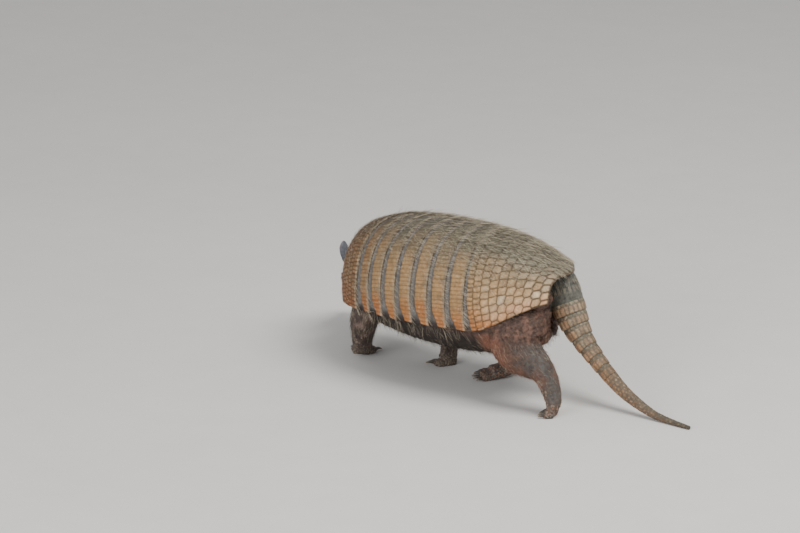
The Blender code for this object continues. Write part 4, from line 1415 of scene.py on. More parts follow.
def claw_rings(root, along, length, radius):
    """Rings of a curved claw, tapering and bending down to a blunt tip."""
    side = unit(np.cross(along, UP))
    over = np.cross(side, along)
    turn = turns(CLAW_SIDES)
    rings = []
    for part in CLAW_PARTS:
        ahead = max(part, 0.0)
        droop = length * ahead * (0.26 * ahead - 0.1)
        size = radius * (1.0 - 0.6 * ahead - 0.3 * ahead**6)
        centre = root + along * (length * part) - over * droop
        flat = 0.72 * size * np.cos(turn)
        deep = size * np.where(np.sin(turn) > 0.0, 1.0, 0.72) * np.sin(turn)
        rings.append(centre + flat[:, None] * side + deep[:, None] * over)
    return rings


def build_claws(finish):
    """The five claws of each foot, one piece for a foot."""
    for name in LEGS:
        claw_length, claw_radius = FEET[name][3:]
        reach = 1.22 if name.startswith("front") else 1.0
        bodies = Bodies()
        for _, end, along, size in toe_lines(name)[2]:
            bodies.add(claw_rings(end + along * GAP, along, reach * claw_length * size, claw_radius * size))
        mesh = mesh_from(f"claws_{name}", over_floor(np.vstack(bodies.points)), bodies.faces)
        turn_out(mesh)
        share = np.tile(np.repeat(CLAW_PARTS, CLAW_SIDES), len(TOE_SPREAD))
        horn = mixed((0.052, 0.04, 0.03), (0.21, 0.165, 0.11), rise(0.35, 1.0, share))
        set_colour(mesh, "tone", horn)
        nodes = [f"claw_{name}_{number}" for number in range(1, 6)]
        show(f"claws_{name}", mesh, finish, nodes, sharp=50.0)


# ---- tail
# how far a ring stands out from the tail at shares of its length
TAIL_RING_SWELLS = ((0.0, -0.0012), (0.06, -0.0006), (0.28, -0.0001), (0.9, 0.0003), (0.98, 0.0),
                    (1.0, -0.001))


def tail_armour(node, first, last, swells, rows, cell, shell, finish, seed):
    """A closed length of the tail covered with scutes, in place of a node."""
    middle = between(TAIL_ROWS, 0.5 * (first + last), 4)
    columns = int(math.tau * middle / cell)
    count = max(4, int((last - first) / cell))
    part = np.linspace(0.0, 1.0, count + 1)[:, None]
    around = np.linspace(0.0, 1.0, columns, endpoint=False)[None, :]
    where = first + (last - first) * part
    angle = math.tau * around + 0.5 * math.pi
    points = tail_point(where, angle, np.interp(part, *zip(*swells)))
    radius = between(TAIL_ROWS, where, 4)
    edge, number = scutes(part, around, last - first, math.tau * radius, rows, 0.22, seed)
    out = tail_point(where, angle, 0.001) - tail_point(where, angle, 0.0)
    height = scute_height(edge, number, shell, seed, 0.5) + 0.00005 * waves(points, 0.002, int(seed) + 60)
    surface = points + 1000.0 * out * height[..., None]
    mesh = mesh_from(f"{node}_scutes", over_floor(surface), tube_faces(count + 1, columns))
    turn_out(mesh)
    tan, grey, cream = colours(shell, "tan", "grey", "cream")
    age = rise(0.14, 0.25, where)
    cloud = waves(points, 0.02, int(seed) + 70)
    pinkish = mixed(tan * (1.06, 1.06, 1.38), 0.78 * tan * (0.84, 0.88, 1.2), age)
    tone = pinkish * (0.8 + 0.4 * chance(number, seed))[..., None]
    ringed = 1.0 if len(rows) == 2 else 0.0
    tone = mixed(tone, grey * (0.8, 0.86, 0.86), 0.7 * ringed * (number < ROW_NUMBERS))
    tone = mixed(tone, cream, 0.32 * rise(0.6, 1.0, chance(number, seed + 2.0)) * (1.0 - 0.7 * age))
    top = rise(-0.05, 0.85, np.cos(math.tau * around) + 0.25 * cloud)
    tone = mixed(tone, grey * (0.95, 1.0, 1.05), np.clip(0.58 * top + 0.22 * age, 0.0, 0.85))
    tone = mixed(tone, 0.62 * grey, 0.75 * rise(0.21, 0.29, where))
    tone = tone * (1.0 - np.array((0.34, 0.42, 0.5)) * rise(0.03, 0.14, where)[..., None])
    tone = tone * (0.82 + 0.22 * rise(0.0006, 0.0022, edge))[..., None]
    set_colour(mesh, "tone", mixed(tone, (0.1, 0.098, 0.086), 0.7 * fall(0.0002, 0.0009, edge)))
    set_value(mesh, "groove", fall(0.0, 0.001, edge))
    set_value(mesh, "grain", chance(number, seed + 9.0))
    show(mesh.name, mesh, finish, [node], sharp=60.0)


def build_tail(shell, finish):
    start = TAIL_BASE_LENGTH
    for number in range(1, TAIL_RING_COUNT + 1):
        end = start + TAIL_RING_PITCH
        count = round(math.tau * between(TAIL_ROWS, 0.5 * (start + end), 4) / 0.0058)
        rows = [(0.03, count, 0.5), (0.52, count, 0.0)]
        front = start + 0.06 * TAIL_RING_PITCH
        tail_armour(f"tail_ring_{number}", front, end, TAIL_RING_SWELLS, rows, 0.00085, shell, finish,
                    80.0 + number)
        start = end
    for name, end in (("tail_middle", start + TAIL_MIDDLE_LENGTH), ("tail_end", TAIL_LENGTH)):
        rows = []
        where = start
        while where < end:
            radius = between(TAIL_ROWS, where, 4)
            pitch = 0.003 + 0.32 * radius
            count = max(5, round(math.tau * radius / (0.88 * pitch)))
            rows.append(((where + 0.5 * pitch - start) / (end - start), count, 0.5 * (len(rows) % 2)))
            where += pitch
        tail_armour(name, start, end, ((0.0, 0.0), (1.0, 0.0)), rows, 0.00065, shell, finish, 90.0)
        start = end


# ---- places on the skin and the shell
def drawn_places(mesh, density, count, seed):
    """Places on a mesh and their normals, drawn by area times a density at each of its points."""
    mesh.calc_loop_triangles()
    corners = np.empty(len(mesh.loop_triangles) * 3, np.int32)
    mesh.loop_triangles.foreach_get("vertices", corners)
    corners = corners.reshape(-1, 3)
    points = mesh_points(mesh)
    first, second, third = (points[corners[:, index]] for index in range(3))
    normal = np.cross(second - first, third - first)
    area = np.linalg.norm(normal, axis=1)
    weight = area * density[corners].mean(1)
    source = np.random.default_rng(int(seed))
    pick = source.choice(len(corners), count, p=weight / weight.sum())
    shares = source.random((count, 2))
    shares = np.where(shares.sum(1, keepdims=True) > 1.0, 1.0 - shares, shares)
    place_on = first[pick] + (second - first)[pick] * shares[:, :1] + (third - first)[pick] * shares[:, 1:]
    return place_on, unit(normal[pick])


def spaced(points, distances, limit):
    """Indices of points that keep a distance from each other, first come first served."""
    taken, cells = [], {}
    for index, (point, distance) in enumerate(zip(points.tolist(), distances.tolist())):
        key = tuple(int(math.floor(value / limit)) for value in point)
        clear = True
        for step in NEIGHBOURS:
            for other in cells.get((key[0] + step[0], key[1] + step[1], key[2] + step[2]), ()):
                if math.dist(point, other) < distance:
                    clear = False
        if clear:
            taken.append(index)
            cells.setdefault(key, []).append(point)
    return np.array(taken, int)


NEIGHBOURS = [(x, y, z) for x in (-1, 0, 1) for y in (-1, 0, 1) for z in (-1, 0, 1)]


# ---- small scales of the legs
def combed(where, normals):
    """The direction in which scales and bristles lie: down the legs, along the tail, else backwards."""
    tailward = backward(where.station)
    left = left_of(tailward)
    outward = rise(0.02, 0.07, np.abs(where.lateral))[:, None]
    run = tailward + 0.9 * left * np.sign(where.lateral)[:, None] * outward - UP * 0.55
    for _, mask, _, along in where.legs.values():
        run = mixed(run, along + 0.25 * tailward, rise(0.3, 0.6, mask))
    run = mixed(run, where.tail_run, where.tail)
    run = mixed(run, -HEAD_FORWARD, rise(0.3, 0.7, where.head))
    return unit(run - normals * (run * normals).sum(-1, keepdims=True))


def build_scales(skin, skin_piece, finish):
    """Small six-sided scales on the fronts of the legs, the feet and the cheeks, with painted shade at their
    rims and a painted highlight on their crowns.
    """
    mesh = skin_piece.data
    points = mesh_points(mesh)
    where = Anatomy(points)
    density = np.zeros(len(points))
    for name, (share, mask, fore, _) in where.legs.items():
        lower = rise(0.5, 0.62, share) if name.startswith("hind") else rise(0.42, 0.56, share)
        facing = rise(-0.003, 0.003, fore) * (1.0 - 0.2 * lower)
        density = np.maximum(density, mask * lower * np.maximum(facing, 0.75 * (where.height < 0.016)))
    cheek = rise(0.018, 0.026, where.ahead) * fall(0.062, 0.07, where.ahead) * where.head
    cheek = cheek * rise(-0.015, -0.01, where.above) * fall(0.0, 0.004, where.above)
    cheek = cheek * rise(0.018, 0.022, np.abs(where.aside))
    density = np.maximum(density, 1.6 * cheek)
    density = density * (where.height > 0.0022)
    roots, normals = drawn_places(mesh, density, 17000, 301)
    at = Anatomy(roots)
    size = np.clip(0.0012 + 0.03 * at.height, 0.0014, 0.0024)
    size = size * (0.85 + 0.3 * chance(np.arange(len(roots)), 7.0))
    size = np.where(at.head > 0.5, 0.0012 + 0.0006 * rise(0.02, 0.034, at.ahead), size)
    keep = spaced(roots, (1.52 - 0.14 * at.head) * size, 0.0042)
    roots, normals, size = roots[keep], normals[keep], size[keep]
    at = Anatomy(roots)
    along = combed(at, normals)
    side = np.cross(normals, along)
    tilted = unit(normals + 0.16 * along)
    number = np.arange(len(roots))
    turn = np.arange(6) * math.pi / 3.0 + 0.7 * (chance(number, 17.0) - 0.5)[:, None]
    rings = []
    for reach, height in ((1.02, -0.00025), (0.9, 0.00018), (0.55, 0.00034)):
        wobble = 1.0 + 0.36 * (chance(number[:, None] * 7.0 + np.arange(6)[None, :], 3.0) - 0.5)
        out = along[:, None] * (np.cos(turn) * 1.12)[..., None] + side[:, None] * np.sin(turn)[..., None]
        flat = out - normals[:, None] * ((out * normals[:, None]).sum(-1, keepdims=True))
        ring = roots[:, None] + flat * (size[:, None] * reach * wobble)[..., None]
        rings.append(ring + tilted[:, None] * height)
    crown = (roots + tilted * 0.00037)[:, None]
    points = np.concatenate([*rings, crown], 1)
    pattern = ring_faces(0, 6, 6) + ring_faces(6, 12, 6)
    pattern += [(12 + step, 12 + (step + 1) % 6, 18) for step in range(6)] + [(5, 4, 3, 2, 1, 0)]
    mesh = mesh_from("leg_scales", over_floor(points), repeated(pattern, len(roots), SCALE_POINTS))
    dark, slate, plum = colours(skin, "dark", "slate", "plum")
    hind = at.station > 0.17
    reddish = rise(0.45, 0.95, chance(number, 12.0))
    on_hind = mixed(slate * (1.25, 0.98, 0.83), plum * (1.9, 1.5, 1.15), 0.65 * reddish)
    tone = np.where(hind[:, None], on_hind, slate * (1.05, 0.88, 0.74))
    tone = np.where((at.head > 0.5)[:, None], 0.62 * slate + 0.42 * plum, tone)
    tone = tone * (0.75 + 0.5 * chance(number, 11.0))[:, None]
    # Painted shade and light on each scale: its sunk outer ring is darkened, partly the scales' own dark
    # outlines and partly painted shade between them, and its inner ring and crown are brightened as a painted
    # highlight.
    shade = np.repeat((0.42, 0.88, 1.03, 1.08), (6, 6, 6, 1))
    colour = mixed(dark * 0.8, tone[:, None], np.clip(shade, 0.0, 1.0)[None])
    set_colour(mesh, "tone", colour * np.maximum(shade, 1.0)[None, :, None])
    set_value(mesh, "groove", np.tile(np.repeat((1.0, 0.2, 0.0), (6, 6, 7)), len(roots)))
    set_value(mesh, "grain", np.repeat(chance(number, 13.0), SCALE_POINTS))
    return show("leg_scales", mesh, finish, (), sharp=40.0)


# ---- bristles
class Coat:
    """Bristles gathered into one mesh, each a thin tapering tuft of three sides."""

    def __init__(self):
        self.points, self.tones, self.places = [], [], []

    def add(self, roots, directions, lengths, thickness, sag, tones, places):
        """Bristles from their roots along their directions, bent by sag times their length at the tip."""
        lengths = np.asarray(lengths)[:, None]
        helper = np.where(np.abs(directions[:, 2:3]) > 0.9, (1.0, 0.0, 0.0), (0.0, 0.0, 1.0))
        side = unit(np.cross(directions, helper))
        over = np.cross(side, directions)
        turn = turns(3)
        ring = np.cos(turn)[None, :, None] * side[:, None] + np.sin(turn)[None, :, None] * over[:, None]
        rings = []
        for part, width in ((0.0, 1.0), (0.38, 0.8), (0.74, 0.5)):
            middle = roots + directions * (lengths * part - 0.0008 * (part == 0.0)) + sag * lengths * part**2
            rings.append(middle[:, None] + ring * (0.5 * thickness * width))
        tip = roots + directions * lengths + sag * lengths
        self.points.append(np.concatenate([*rings, tip[:, None]], 1))
        light = np.repeat((0.72, 0.95, 1.08, 1.18), (3, 3, 3, 1))
        self.tones.append(np.clip(tones[:, None] * light[None, :, None], 0.003, 1.0))
        spot = np.zeros((BRISTLE_POINTS, 2))
        spot[:-1] = np.tile(0.0012 * np.column_stack([np.cos(turn), np.sin(turn)]), (3, 1))
        spot[:, 0] += np.repeat((0.0, 0.0003, 0.0006, 0.0009), (3, 3, 3, 1))
        self.places.append(places[:, None] + spot[None])

    def build(self, name, finish):
        points = np.concatenate(self.points)
        pattern = ring_faces(0, 3, 3) + ring_faces(3, 6, 3) + [(6, 7, 9), (7, 8, 9), (8, 6, 9), (2, 1, 0)]
        mesh = mesh_from(name, over_floor(points, 0.0003), repeated(pattern, len(points), BRISTLE_POINTS))
        set_colour(mesh, "tone", np.concatenate(self.tones))
        corners = np.empty(len(mesh.loops), np.int32)
        mesh.loops.foreach_get("vertex_index", corners)
        places = np.concatenate(self.places).reshape(-1, 2)[corners]
        mesh.uv_layers.new(name="OFBake").data.foreach_set("uv", places.astype(np.float32).ravel())
        return show(name, mesh, finish)


def pale_and_dark(coat, count, seed, share, dark):
    """Colours of bristles, pale ones and dark ones mixed by a share of pale."""
    number = np.arange(count)
    tone = np.where((chance(number, seed) < share)[:, None], coat.pale, dark)
    return tone * (0.7 + 0.6 * chance(number, seed + 2.0))[:, None]


def shell_roots(station, share):
    """Places on the shell with the directions towards the tail, along the arch and out of the shell."""
    angle = arch_angle(station, share)
    root = section_point(station, angle)
    behind = section_point(station + 0.001, angle)
    beside = section_point(station, angle + 0.002)
    tailward = unit(behind - root)
    around = unit(beside - root)
    out = unit(np.cross(around, tailward))
    middle = section_point(station, 0.5 * math.pi, 0.05)
    out = out * np.sign((out * (root - middle)).sum(-1))[:, None]
    downhill = around * np.sign(share - 0.5)[:, None]
    return root, tailward, downhill, out


def shell_bristles(coat, station, share, lengths, lift, down, seed, thickness, pale_share=0.9, stray=0.4):
    """What Coat.add needs for bristles that lie back over the shell, straying to both sides."""
    number = np.arange(len(station))
    root, tailward, downhill, out = shell_roots(station, share)
    sideways = stray * (chance(number, seed + 4.0) - 0.5)
    lean = tailward + downhill * (down + sideways)[:, None] + out * lift[:, None]
    tones = pale_and_dark(coat, len(station), seed + 6.0, pale_share, coat.brown)
    curl = 0.9 * stray * (chance(number, seed + 5.0) - 0.5)
    sag = (-0.25 * out - 0.14 * UP) * lift[:, None] + downhill * curl[:, None]
    return root, unit(lean), lengths, thickness * coat.thickness, sag, tones, Anatomy(root).unwrap()


def build_shell_bristles(coat, finish):
    """Pale bristles from behind each band and from between the scutes of the shields."""
    across = Coat()
    source = np.random.default_rng(5)
    for gap in range(BAND_COUNT + 1):
        rear = FIRST_BAND + (gap - 1) * BAND_PITCH + BAND_LENGTH if gap else SHOULDER_LENGTH
        share = source.random(540)
        top = np.sin(math.pi * share)
        keep = source.random(540) < 0.55 + 0.45 * top
        share, top = share[keep], top[keep]
        low = np.clip((0.16 - np.minimum(share, 1.0 - share)) / 0.16, 0.0, 1.0)
        count = len(share)
        spot = rear - 0.0006 + 0.0012 * (source.random(count) - 0.7) + band_corner(share)
        lengths = 0.007 + 0.006 * source.random(count) + 0.009 * top**3 * source.random(count) + 0.005 * low
        lift = 0.08 + 0.2 * source.random(count) + 0.1 * top**4
        down = 0.1 + 0.55 * low
        across.add(*shell_bristles(coat, spot, share, lengths, lift, down, 10.0 + gap, 0.68, 0.75))
    across.build("bristles_between_bands", finish)

    back = Coat()
    for first, last, count, low_share, seed, long in (
        (0.004, SHOULDER_LENGTH, 1400, 0.3, 31.0, 0.008),
        (FIRST_BAND, PELVIC_START, 2200, 0.26, 32.0, 0.01),
        (PELVIC_START, PELVIC_SIDE_END + 0.01, 2300, 0.06, 33.0, 0.009),
    ):
        station = first + (last - first) * source.random(count)
        share = source.random(count)
        top = np.sin(math.pi * share)
        keep = source.random(count) < low_share + (1.0 - low_share) * rise(0.2, 1.02, top)
        keep &= station < PELVIC_SIDE_END + (PELVIC_TOP_END - PELVIC_SIDE_END) * top**4 - 0.002
        station, share, top = station[keep], share[keep], top[keep]
        lengths = (0.45 + 0.75 * source.random(len(share))) * (long + 0.006 * top**2)
        lift = 0.08 + 0.26 * source.random(len(share)) ** 2
        back.add(*shell_bristles(coat, station, share, lengths, lift, 0.18, seed, 0.7, 0.78, 1.1))
    count = 200
    station = 0.04 + 0.24 * source.random(count)
    share = 0.5 + 0.42 * (source.random(count) - 0.5)
    lengths = 0.014 + 0.014 * source.random(count)
    lift = 0.55 + 0.5 * source.random(count)
    back.add(*shell_bristles(coat, station, share, lengths, lift, 0.1, 41.0, 0.6))
    back.build("bristles_on_shields", finish)


def build_body_bristles(coat, skin_piece, finish):
    """Hair of the flanks, belly, legs, throat and tail root."""
    mesh = skin_piece.data
    where = Anatomy(mesh_points(mesh))
    clear = (1.0 - where.ear) * (where.height > 0.004)
    leg_upper, leg_lower = np.zeros((2, len(clear)))
    for name, (share, mask, _, _) in where.legs.items():
        end = (0.55, 0.72) if name.startswith("hind") else (0.62, 0.86)
        upper = fall(*end, share)
        leg_upper = np.maximum(leg_upper, mask * upper)
        leg_lower = np.maximum(leg_lower, mask * (1.0 - upper))
    trunk = (1.0 - where.any_leg) * (1.0 - where.tail) * (where.station > 0.0)
    fringe = trunk * rise(-0.016, -0.006, where.over) * fall(-0.004, 0.0, where.over)
    fringe = fringe * fall(0.2, 0.24, where.station)
    belly = trunk * fall(-0.012, -0.004, where.over)
    head = where.head * fall(0.085, 0.1, where.ahead) * fall(0.004, 0.01, where.above)
    neck = (where.station < 0.004) * (1.0 - where.head)

    # density, count, shortest and longest, lift, thickness, share of pale ones, seed, lean
    pieces = {
        "bristles_underneath": (
            (fringe, 270, 0.008, 0.02, 0.4, 0.7, 0.8, 61.0, -0.5 * UP),
            (belly, 4200, 0.005, 0.012, 0.26, 0.66, 0.06, 62.0, None),
        ),
        "bristles_on_limbs": (
            (leg_upper, 6400, 0.0045, 0.0095, 0.16, 0.56, 0.13, 63.0, None),
            (leg_lower, 1300, 0.0022, 0.005, 0.16, 0.5, 0.1, 64.0, None),
            (head, 1500, 0.0022, 0.006, 0.22, 0.5, 0.55, 65.0, None),
            (neck, 900, 0.005, 0.012, 0.25, 0.6, 0.6, 66.0, None),
            (where.tail * (where.tail_share < 0.13), 260, 0.003, 0.008, 0.2, 0.6, 0.8, 67.0, None),
        ),
    }
    for name, rows in pieces.items():
        gathered = Coat()
        for density, count, low, high, lift, thickness, pale_share, seed, lean in rows:
            roots, normals = drawn_places(mesh, density * clear + 1e-9, count, seed)
            at = Anatomy(roots)
            number = np.arange(count)
            run = combed(at, normals)
            if lean is not None:
                run = unit(run + lean)
            aside = np.cross(normals, run) * (0.7 * (chance(number, seed) - 0.5))[:, None]
            off = normals * (lift * (0.5 + chance(number, seed + 1.0)))[:, None]
            lengths = low + (high - low) * chance(number, seed + 2.0) ** 1.5
            dark = mixed(*colours(coat, "brown", "thigh"), rise(0.175, 0.215, at.station) * at.any_leg)
            tones = pale_and_dark(coat, count, seed + 3.0, pale_share, dark)
            thick = thickness * coat.thickness
            gathered.add(roots, unit(run + aside + off), lengths, thick, -0.22 * UP, tones, at.unwrap())
        gathered.build(name, finish)


# ---- finishes
class Nodes:
    """A tree of nodes, with short ways to add what the finishes are made of."""

    def __init__(self, tree):
        self.tree = tree

    def feed(self, node, inputs):
        """Values and links for a node's inputs."""
        for socket, value in inputs.items():
            if isinstance(value, bpy.types.NodeSocket):
                self.tree.links.new(value, node.inputs[socket])
            else:
                node.inputs[socket].default_value = value

    def add(self, kind, inputs, **settings):
        """The outputs of a new node with its settings, values and links."""
        made = self.tree.nodes.new(kind)
        for setting, value in settings.items():
            setattr(made, setting, value)
        self.feed(made, inputs)
        return made.outputs

    def group(self, tree, *values):
        """The outputs of a shared group, fed in the order of its inputs."""
        return self.add("ShaderNodeGroup", dict(enumerate(values)), node_tree=tree)

    def attribute(self, name, kind="Fac"):
        return self.add("ShaderNodeAttribute", {}, attribute_name=name)[kind]

    def place(self):
        return self.add("ShaderNodeTexCoord", {})["Object"]

    def noise(self, scale, detail=4.0, roughness=0.55):
        inputs = {"Vector": self.place(), "Scale": scale, "Detail": detail, "Roughness": roughness}
        return self.add("ShaderNodeTexNoise", inputs)["Fac"]

    def spread(self, value, low, high, to_low, to_high):
        inputs = {"Value": value, "From Min": low, "From Max": high, "To Min": to_low, "To Max": to_high}
        return self.add("ShaderNodeMapRange", inputs)["Result"]

    def math(self, kind, first, second):
        return self.add("ShaderNodeMath", {0: first, 1: second}, operation=kind)[0]

    def mix(self, share, first, second, kind="MIX"):
        inputs = {0: share, 6: first, 7: second}
        return self.add("ShaderNodeMix", inputs, data_type="RGBA", blend_type=kind)[2]

    def bump(self, height, strength, distance):
        inputs = {"Height": height, "Strength": strength, "Distance": distance}
        return self.add("ShaderNodeBump", inputs)["Normal"]


def node_group(name, inputs, outputs):
    """An empty group: its nodes, what it is given and its end node. Inputs have names, kinds and values."""
    tree = bpy.data.node_groups.new(name, "ShaderNodeTree")
    for label, kind, value in inputs:
        socket = tree.interface.new_socket(name=label, in_out="INPUT", socket_type=kind)
        socket.default_value = value
    for label, kind in outputs:
        tree.interface.new_socket(name=label, in_out="OUTPUT", socket_type=kind)
    return Nodes(tree), tree.nodes.new("NodeGroupInput").outputs, tree.nodes.new("NodeGroupOutput")


def mottling_group():
    """Soft and fine unevenness of a colour, as on horn, skin and bristles."""
    nodes, given, result = node_group(
        "Mottling",
        [("Colour", "NodeSocketColor", (0.5, 0.5, 0.5, 1.0)), ("Strength", "NodeSocketFloat", 0.3),
         ("Coarse scale", "NodeSocketFloat", 120.0), ("Fine scale", "NodeSocketFloat", 900.0)],
        [("Colour", "NodeSocketColor"), ("Value", "NodeSocketFloat")])
    coarse = nodes.math("MULTIPLY", nodes.noise(given["Coarse scale"], 3.0), 0.55)
    fine = nodes.math("MULTIPLY", nodes.noise(given["Fine scale"], 4.0, 0.65), 0.45)
    both = nodes.math("ADD", coarse, fine)
    swing = nodes.math("MULTIPLY", nodes.spread(both, 0.3, 0.7, -1.0, 1.0), given["Strength"])
    factor = nodes.math("ADD", swing, 1.0)
    grey = nodes.add("ShaderNodeCombineColor", {"Red": factor, "Green": factor, "Blue": factor})["Color"]
    nodes.feed(result, {"Colour": nodes.mix(1.0, given["Colour"], grey, "MULTIPLY"), "Value": both})
    return nodes.tree


def pits_group():
    """Tiny pits and raised grains for a bump: the pores of horn, the grain of skin."""
    nodes, given, result = node_group(
        "Pits and grains",
        [("Cell scale", "NodeSocketFloat", 600.0), ("Cell depth", "NodeSocketFloat", 0.5),
         ("Grain scale", "NodeSocketFloat", 1800.0), ("Grain depth", "NodeSocketFloat", 0.5)],
        [("Height", "NodeSocketFloat"), ("Cells", "NodeSocketFloat")])
    inputs = {"Vector": nodes.place(), "Scale": given["Cell scale"], "Randomness": 0.9}
    cells = nodes.add("ShaderNodeTexVoronoi", inputs, feature="SMOOTH_F1", distance="EUCLIDEAN")["Distance"]
    pits = nodes.math("MULTIPLY", nodes.spread(cells, 0.05, 0.75, 1.0, 0.0), given["Cell depth"])
    grains = nodes.math("MULTIPLY", nodes.noise(given["Grain scale"], 3.0, 0.6), given["Grain depth"])
    nodes.feed(result, {"Height": nodes.math("ADD", pits, grains), "Cells": cells})
    return nodes.tree


class Finishes:
    """The finishes of the whole model; the groups that they share are built once."""

    def __init__(self):
        self.mottling = mottling_group()
        self.pits = pits_group()

    def start(self, name, strength, coarse, fine, colour=None):
        """A material, its nodes, and its mottled colour: the mesh's own tones or a plain colour."""
        made = bpy.data.materials.new(name)
        made.use_nodes = True
        nodes = Nodes(made.node_tree)
        return made, nodes, nodes.group(
            self.mottling, colour or nodes.attribute("tone", "Color"), strength, coarse, fine)

    def end(self, made, nodes, inputs):
        """The material, with what goes into its shader."""
        nodes.feed(made.node_tree.nodes["Principled BSDF"], inputs)
        return made

    def horn(self):
        """Bony scutes under thin horn: mottled, pitted, duller in the grooves, with worn crowns."""
        made, nodes, mottled = self.start("scute_horn", 0.34, 210.0, 1500.0)
        groove = nodes.attribute("groove")
        stain = nodes.spread(nodes.noise(90.0, 5.0, 0.6), 0.5, 0.72, 0.0, 0.4)
        stained = nodes.mix(stain, mottled["Colour"], (0.08, 0.06, 0.04, 1.0))
        worn = nodes.spread(nodes.noise(420.0, 3.0), 0.54, 0.74, 0.0, 0.4)
        worn = nodes.math("MULTIPLY", worn, nodes.math("SUBTRACT", 1.0, groove))
        rough = nodes.spread(mottled["Value"], 0.3, 0.7, 0.44, 0.62)
        rough = nodes.math("ADD", rough, nodes.math("MULTIPLY", groove, 0.25))
        pits = nodes.group(self.pits, 520.0, 0.45, 2600.0, 0.55)
        return self.end(made, nodes, {
            "Base Color": nodes.mix(worn, stained, (0.62, 0.52, 0.38, 1.0)),
            "Roughness": nodes.math("ADD", rough, nodes.math("MULTIPLY", nodes.attribute("grain"), 0.06)),
            "Normal": nodes.bump(pits["Height"], 0.55, 0.00035),
            "Specular IOR Level": 0.28,
        })

    def skin(self):
        """Leathery skin: warty on the legs, finely creased elsewhere with painted shade in the creases, dull.
        """
        made, nodes, mottled = self.start("leathery_skin", 0.34, 160.0, 1100.0)
        warts = nodes.attribute("warts")
        pits = nodes.group(self.pits, 420.0, 1.0, 1700.0, 0.4)
        # Painted shade: the creases between the skin's cells, low in the bump, are darkened towards
        # near-black.
        crease = nodes.spread(pits["Cells"], 0.35, 0.85, 0.0, 0.45)
        creased = nodes.mix(crease, mottled["Colour"], (0.022, 0.016, 0.013, 1.0))
        knobs = nodes.math("MULTIPLY", nodes.spread(pits["Cells"], 0.3, 0.05, 0.0, 0.24), warts)
        depth = nodes.math("ADD", nodes.math("MULTIPLY", warts, 0.7), 0.5)
        return self.end(made, nodes, {
            "Base Color": nodes.mix(knobs, creased, (0.27, 0.18, 0.13, 1.0)),
            "Roughness": nodes.spread(mottled["Value"], 0.3, 0.7, 0.56, 0.76),
            "Normal": nodes.bump(nodes.math("MULTIPLY", pits["Height"], depth), 0.8, 0.0006),
            "Specular IOR Level": 0.36,
        })

    def claw(self):
        """Claw horn: dark roots, paler worn tips, fine lengthwise grain."""
        made, nodes, mottled = self.start("claw_horn", 0.3, 330.0, 2200.0)
        pits = nodes.group(self.pits, 900.0, 0.3, 3200.0, 0.7)
        return self.end(made, nodes, {
            "Base Color": mottled["Colour"],
            "Roughness": nodes.spread(mottled["Value"], 0.3, 0.7, 0.3, 0.5),
            "Normal": nodes.bump(pits["Height"], 0.35, 0.0002),
        })

    def eye(self):
        """A wet, nearly black eye."""
        made, nodes, mottled = self.start("wet_eye", 0.25, 700.0, 4000.0)
        return self.end(made, nodes, {
            "Base Color": mottled["Colour"],
            "Roughness": 0.1,
            "Specular IOR Level": 0.22,
            "Coat Weight": 0.25,
            "Coat Roughness": 0.03,
        })

    def bristle(self):
        """Stiff hair, paler at its tips."""
        made, nodes, mottled = self.start("bristle", 0.2, 260.0, 2500.0)
        rough = nodes.spread(mottled["Value"], 0.3, 0.7, 0.42, 0.6)
        return self.end(made, nodes, {"Base Color": mottled["Colour"], "Roughness": rough})

    def floor(self, colour):
        """A plain pale floor, very faintly uneven."""
        made, nodes, mottled = self.start("pale_floor", 0.03, 2.5, 20.0, (*colour, 1.0))
        return self.end(made, nodes, {"Base Color": mottled["Colour"], "Roughness": 0.85})


# ---- stage
CAMERA_AZIMUTH = math.radians(39.8)
CAMERA_HEIGHT = math.radians(16.76)
CAMERA_DISTANCE = 5.0
CAMERA_AIM = Vector((-0.1771, 0.0439, 0.1))


def area_light(name, direction, distance, size, power, colour):
    """A soft square light that looks at the middle of the model."""
    light = bpy.data.lights.new(name, "AREA")
    light.energy = power
    light.size = size
    light.color = colour
    holder = linked(name, light)
    holder.location = Vector((0.0, 0.0, 0.08)) + direction.normalized() * distance
    holder.rotation_euler = direction.to_track_quat("Z", "Y").to_euler()


def build_stage(stage, floor_finish):
    scene = bpy.context.scene
    half = 0.5 * stage.floor_size
    corners = [(-half, -half, 0.0), (half, -half, 0.0), (half, half, 0.0), (-half, half, 0.0)]
    mesh = mesh_from("floor", corners, [(0, 1, 2, 3)])
    mesh.materials.append(floor_finish)
    linked("floor", mesh)

    back = Vector((math.sin(CAMERA_AZIMUTH) * math.cos(CAMERA_HEIGHT),
                   -math.cos(CAMERA_AZIMUTH) * math.cos(CAMERA_HEIGHT), math.sin(CAMERA_HEIGHT)))
    camera = bpy.data.cameras.new("camera")
    camera.lens = 180.0
    camera.sensor_width = 36.0
    camera.clip_end = 60.0
    holder = linked("camera", camera)
    holder.location = CAMERA_AIM + back * CAMERA_DISTANCE
    holder.rotation_euler = back.to_track_quat("Z", "Y").to_euler()
    scene.camera = holder

    right = Vector((math.cos(CAMERA_AZIMUTH), math.sin(CAMERA_AZIMUTH), 0.0))
    area_light("key", back * 0.55 + right * 0.65 + Vector((0.0, 0.0, 1.25)), 2.4, 1.3, stage.key_power,
               (1.0, 0.975, 0.94))
    area_light("fill", back - right * 0.75 + Vector((0.0, 0.0, 0.12)), 2.8, 1.6, stage.fill_power,
               (0.93, 0.96, 1.0))
    world = bpy.data.worlds.new("studio")
    world.use_nodes = True
    background = world.node_tree.nodes["Background"]
    background.inputs["Color"].default_value = (0.93, 0.94, 0.96, 1.0)
    background.inputs["Strength"].default_value = 0.55
    scene.world = world


# ---- operators
def finish_named(name, kind, *rest):
    """A finish by its name, made when it is first asked for."""
    found = bpy.data.materials.get(name)
    return found if found else getattr(FINISHES, kind)(*rest)


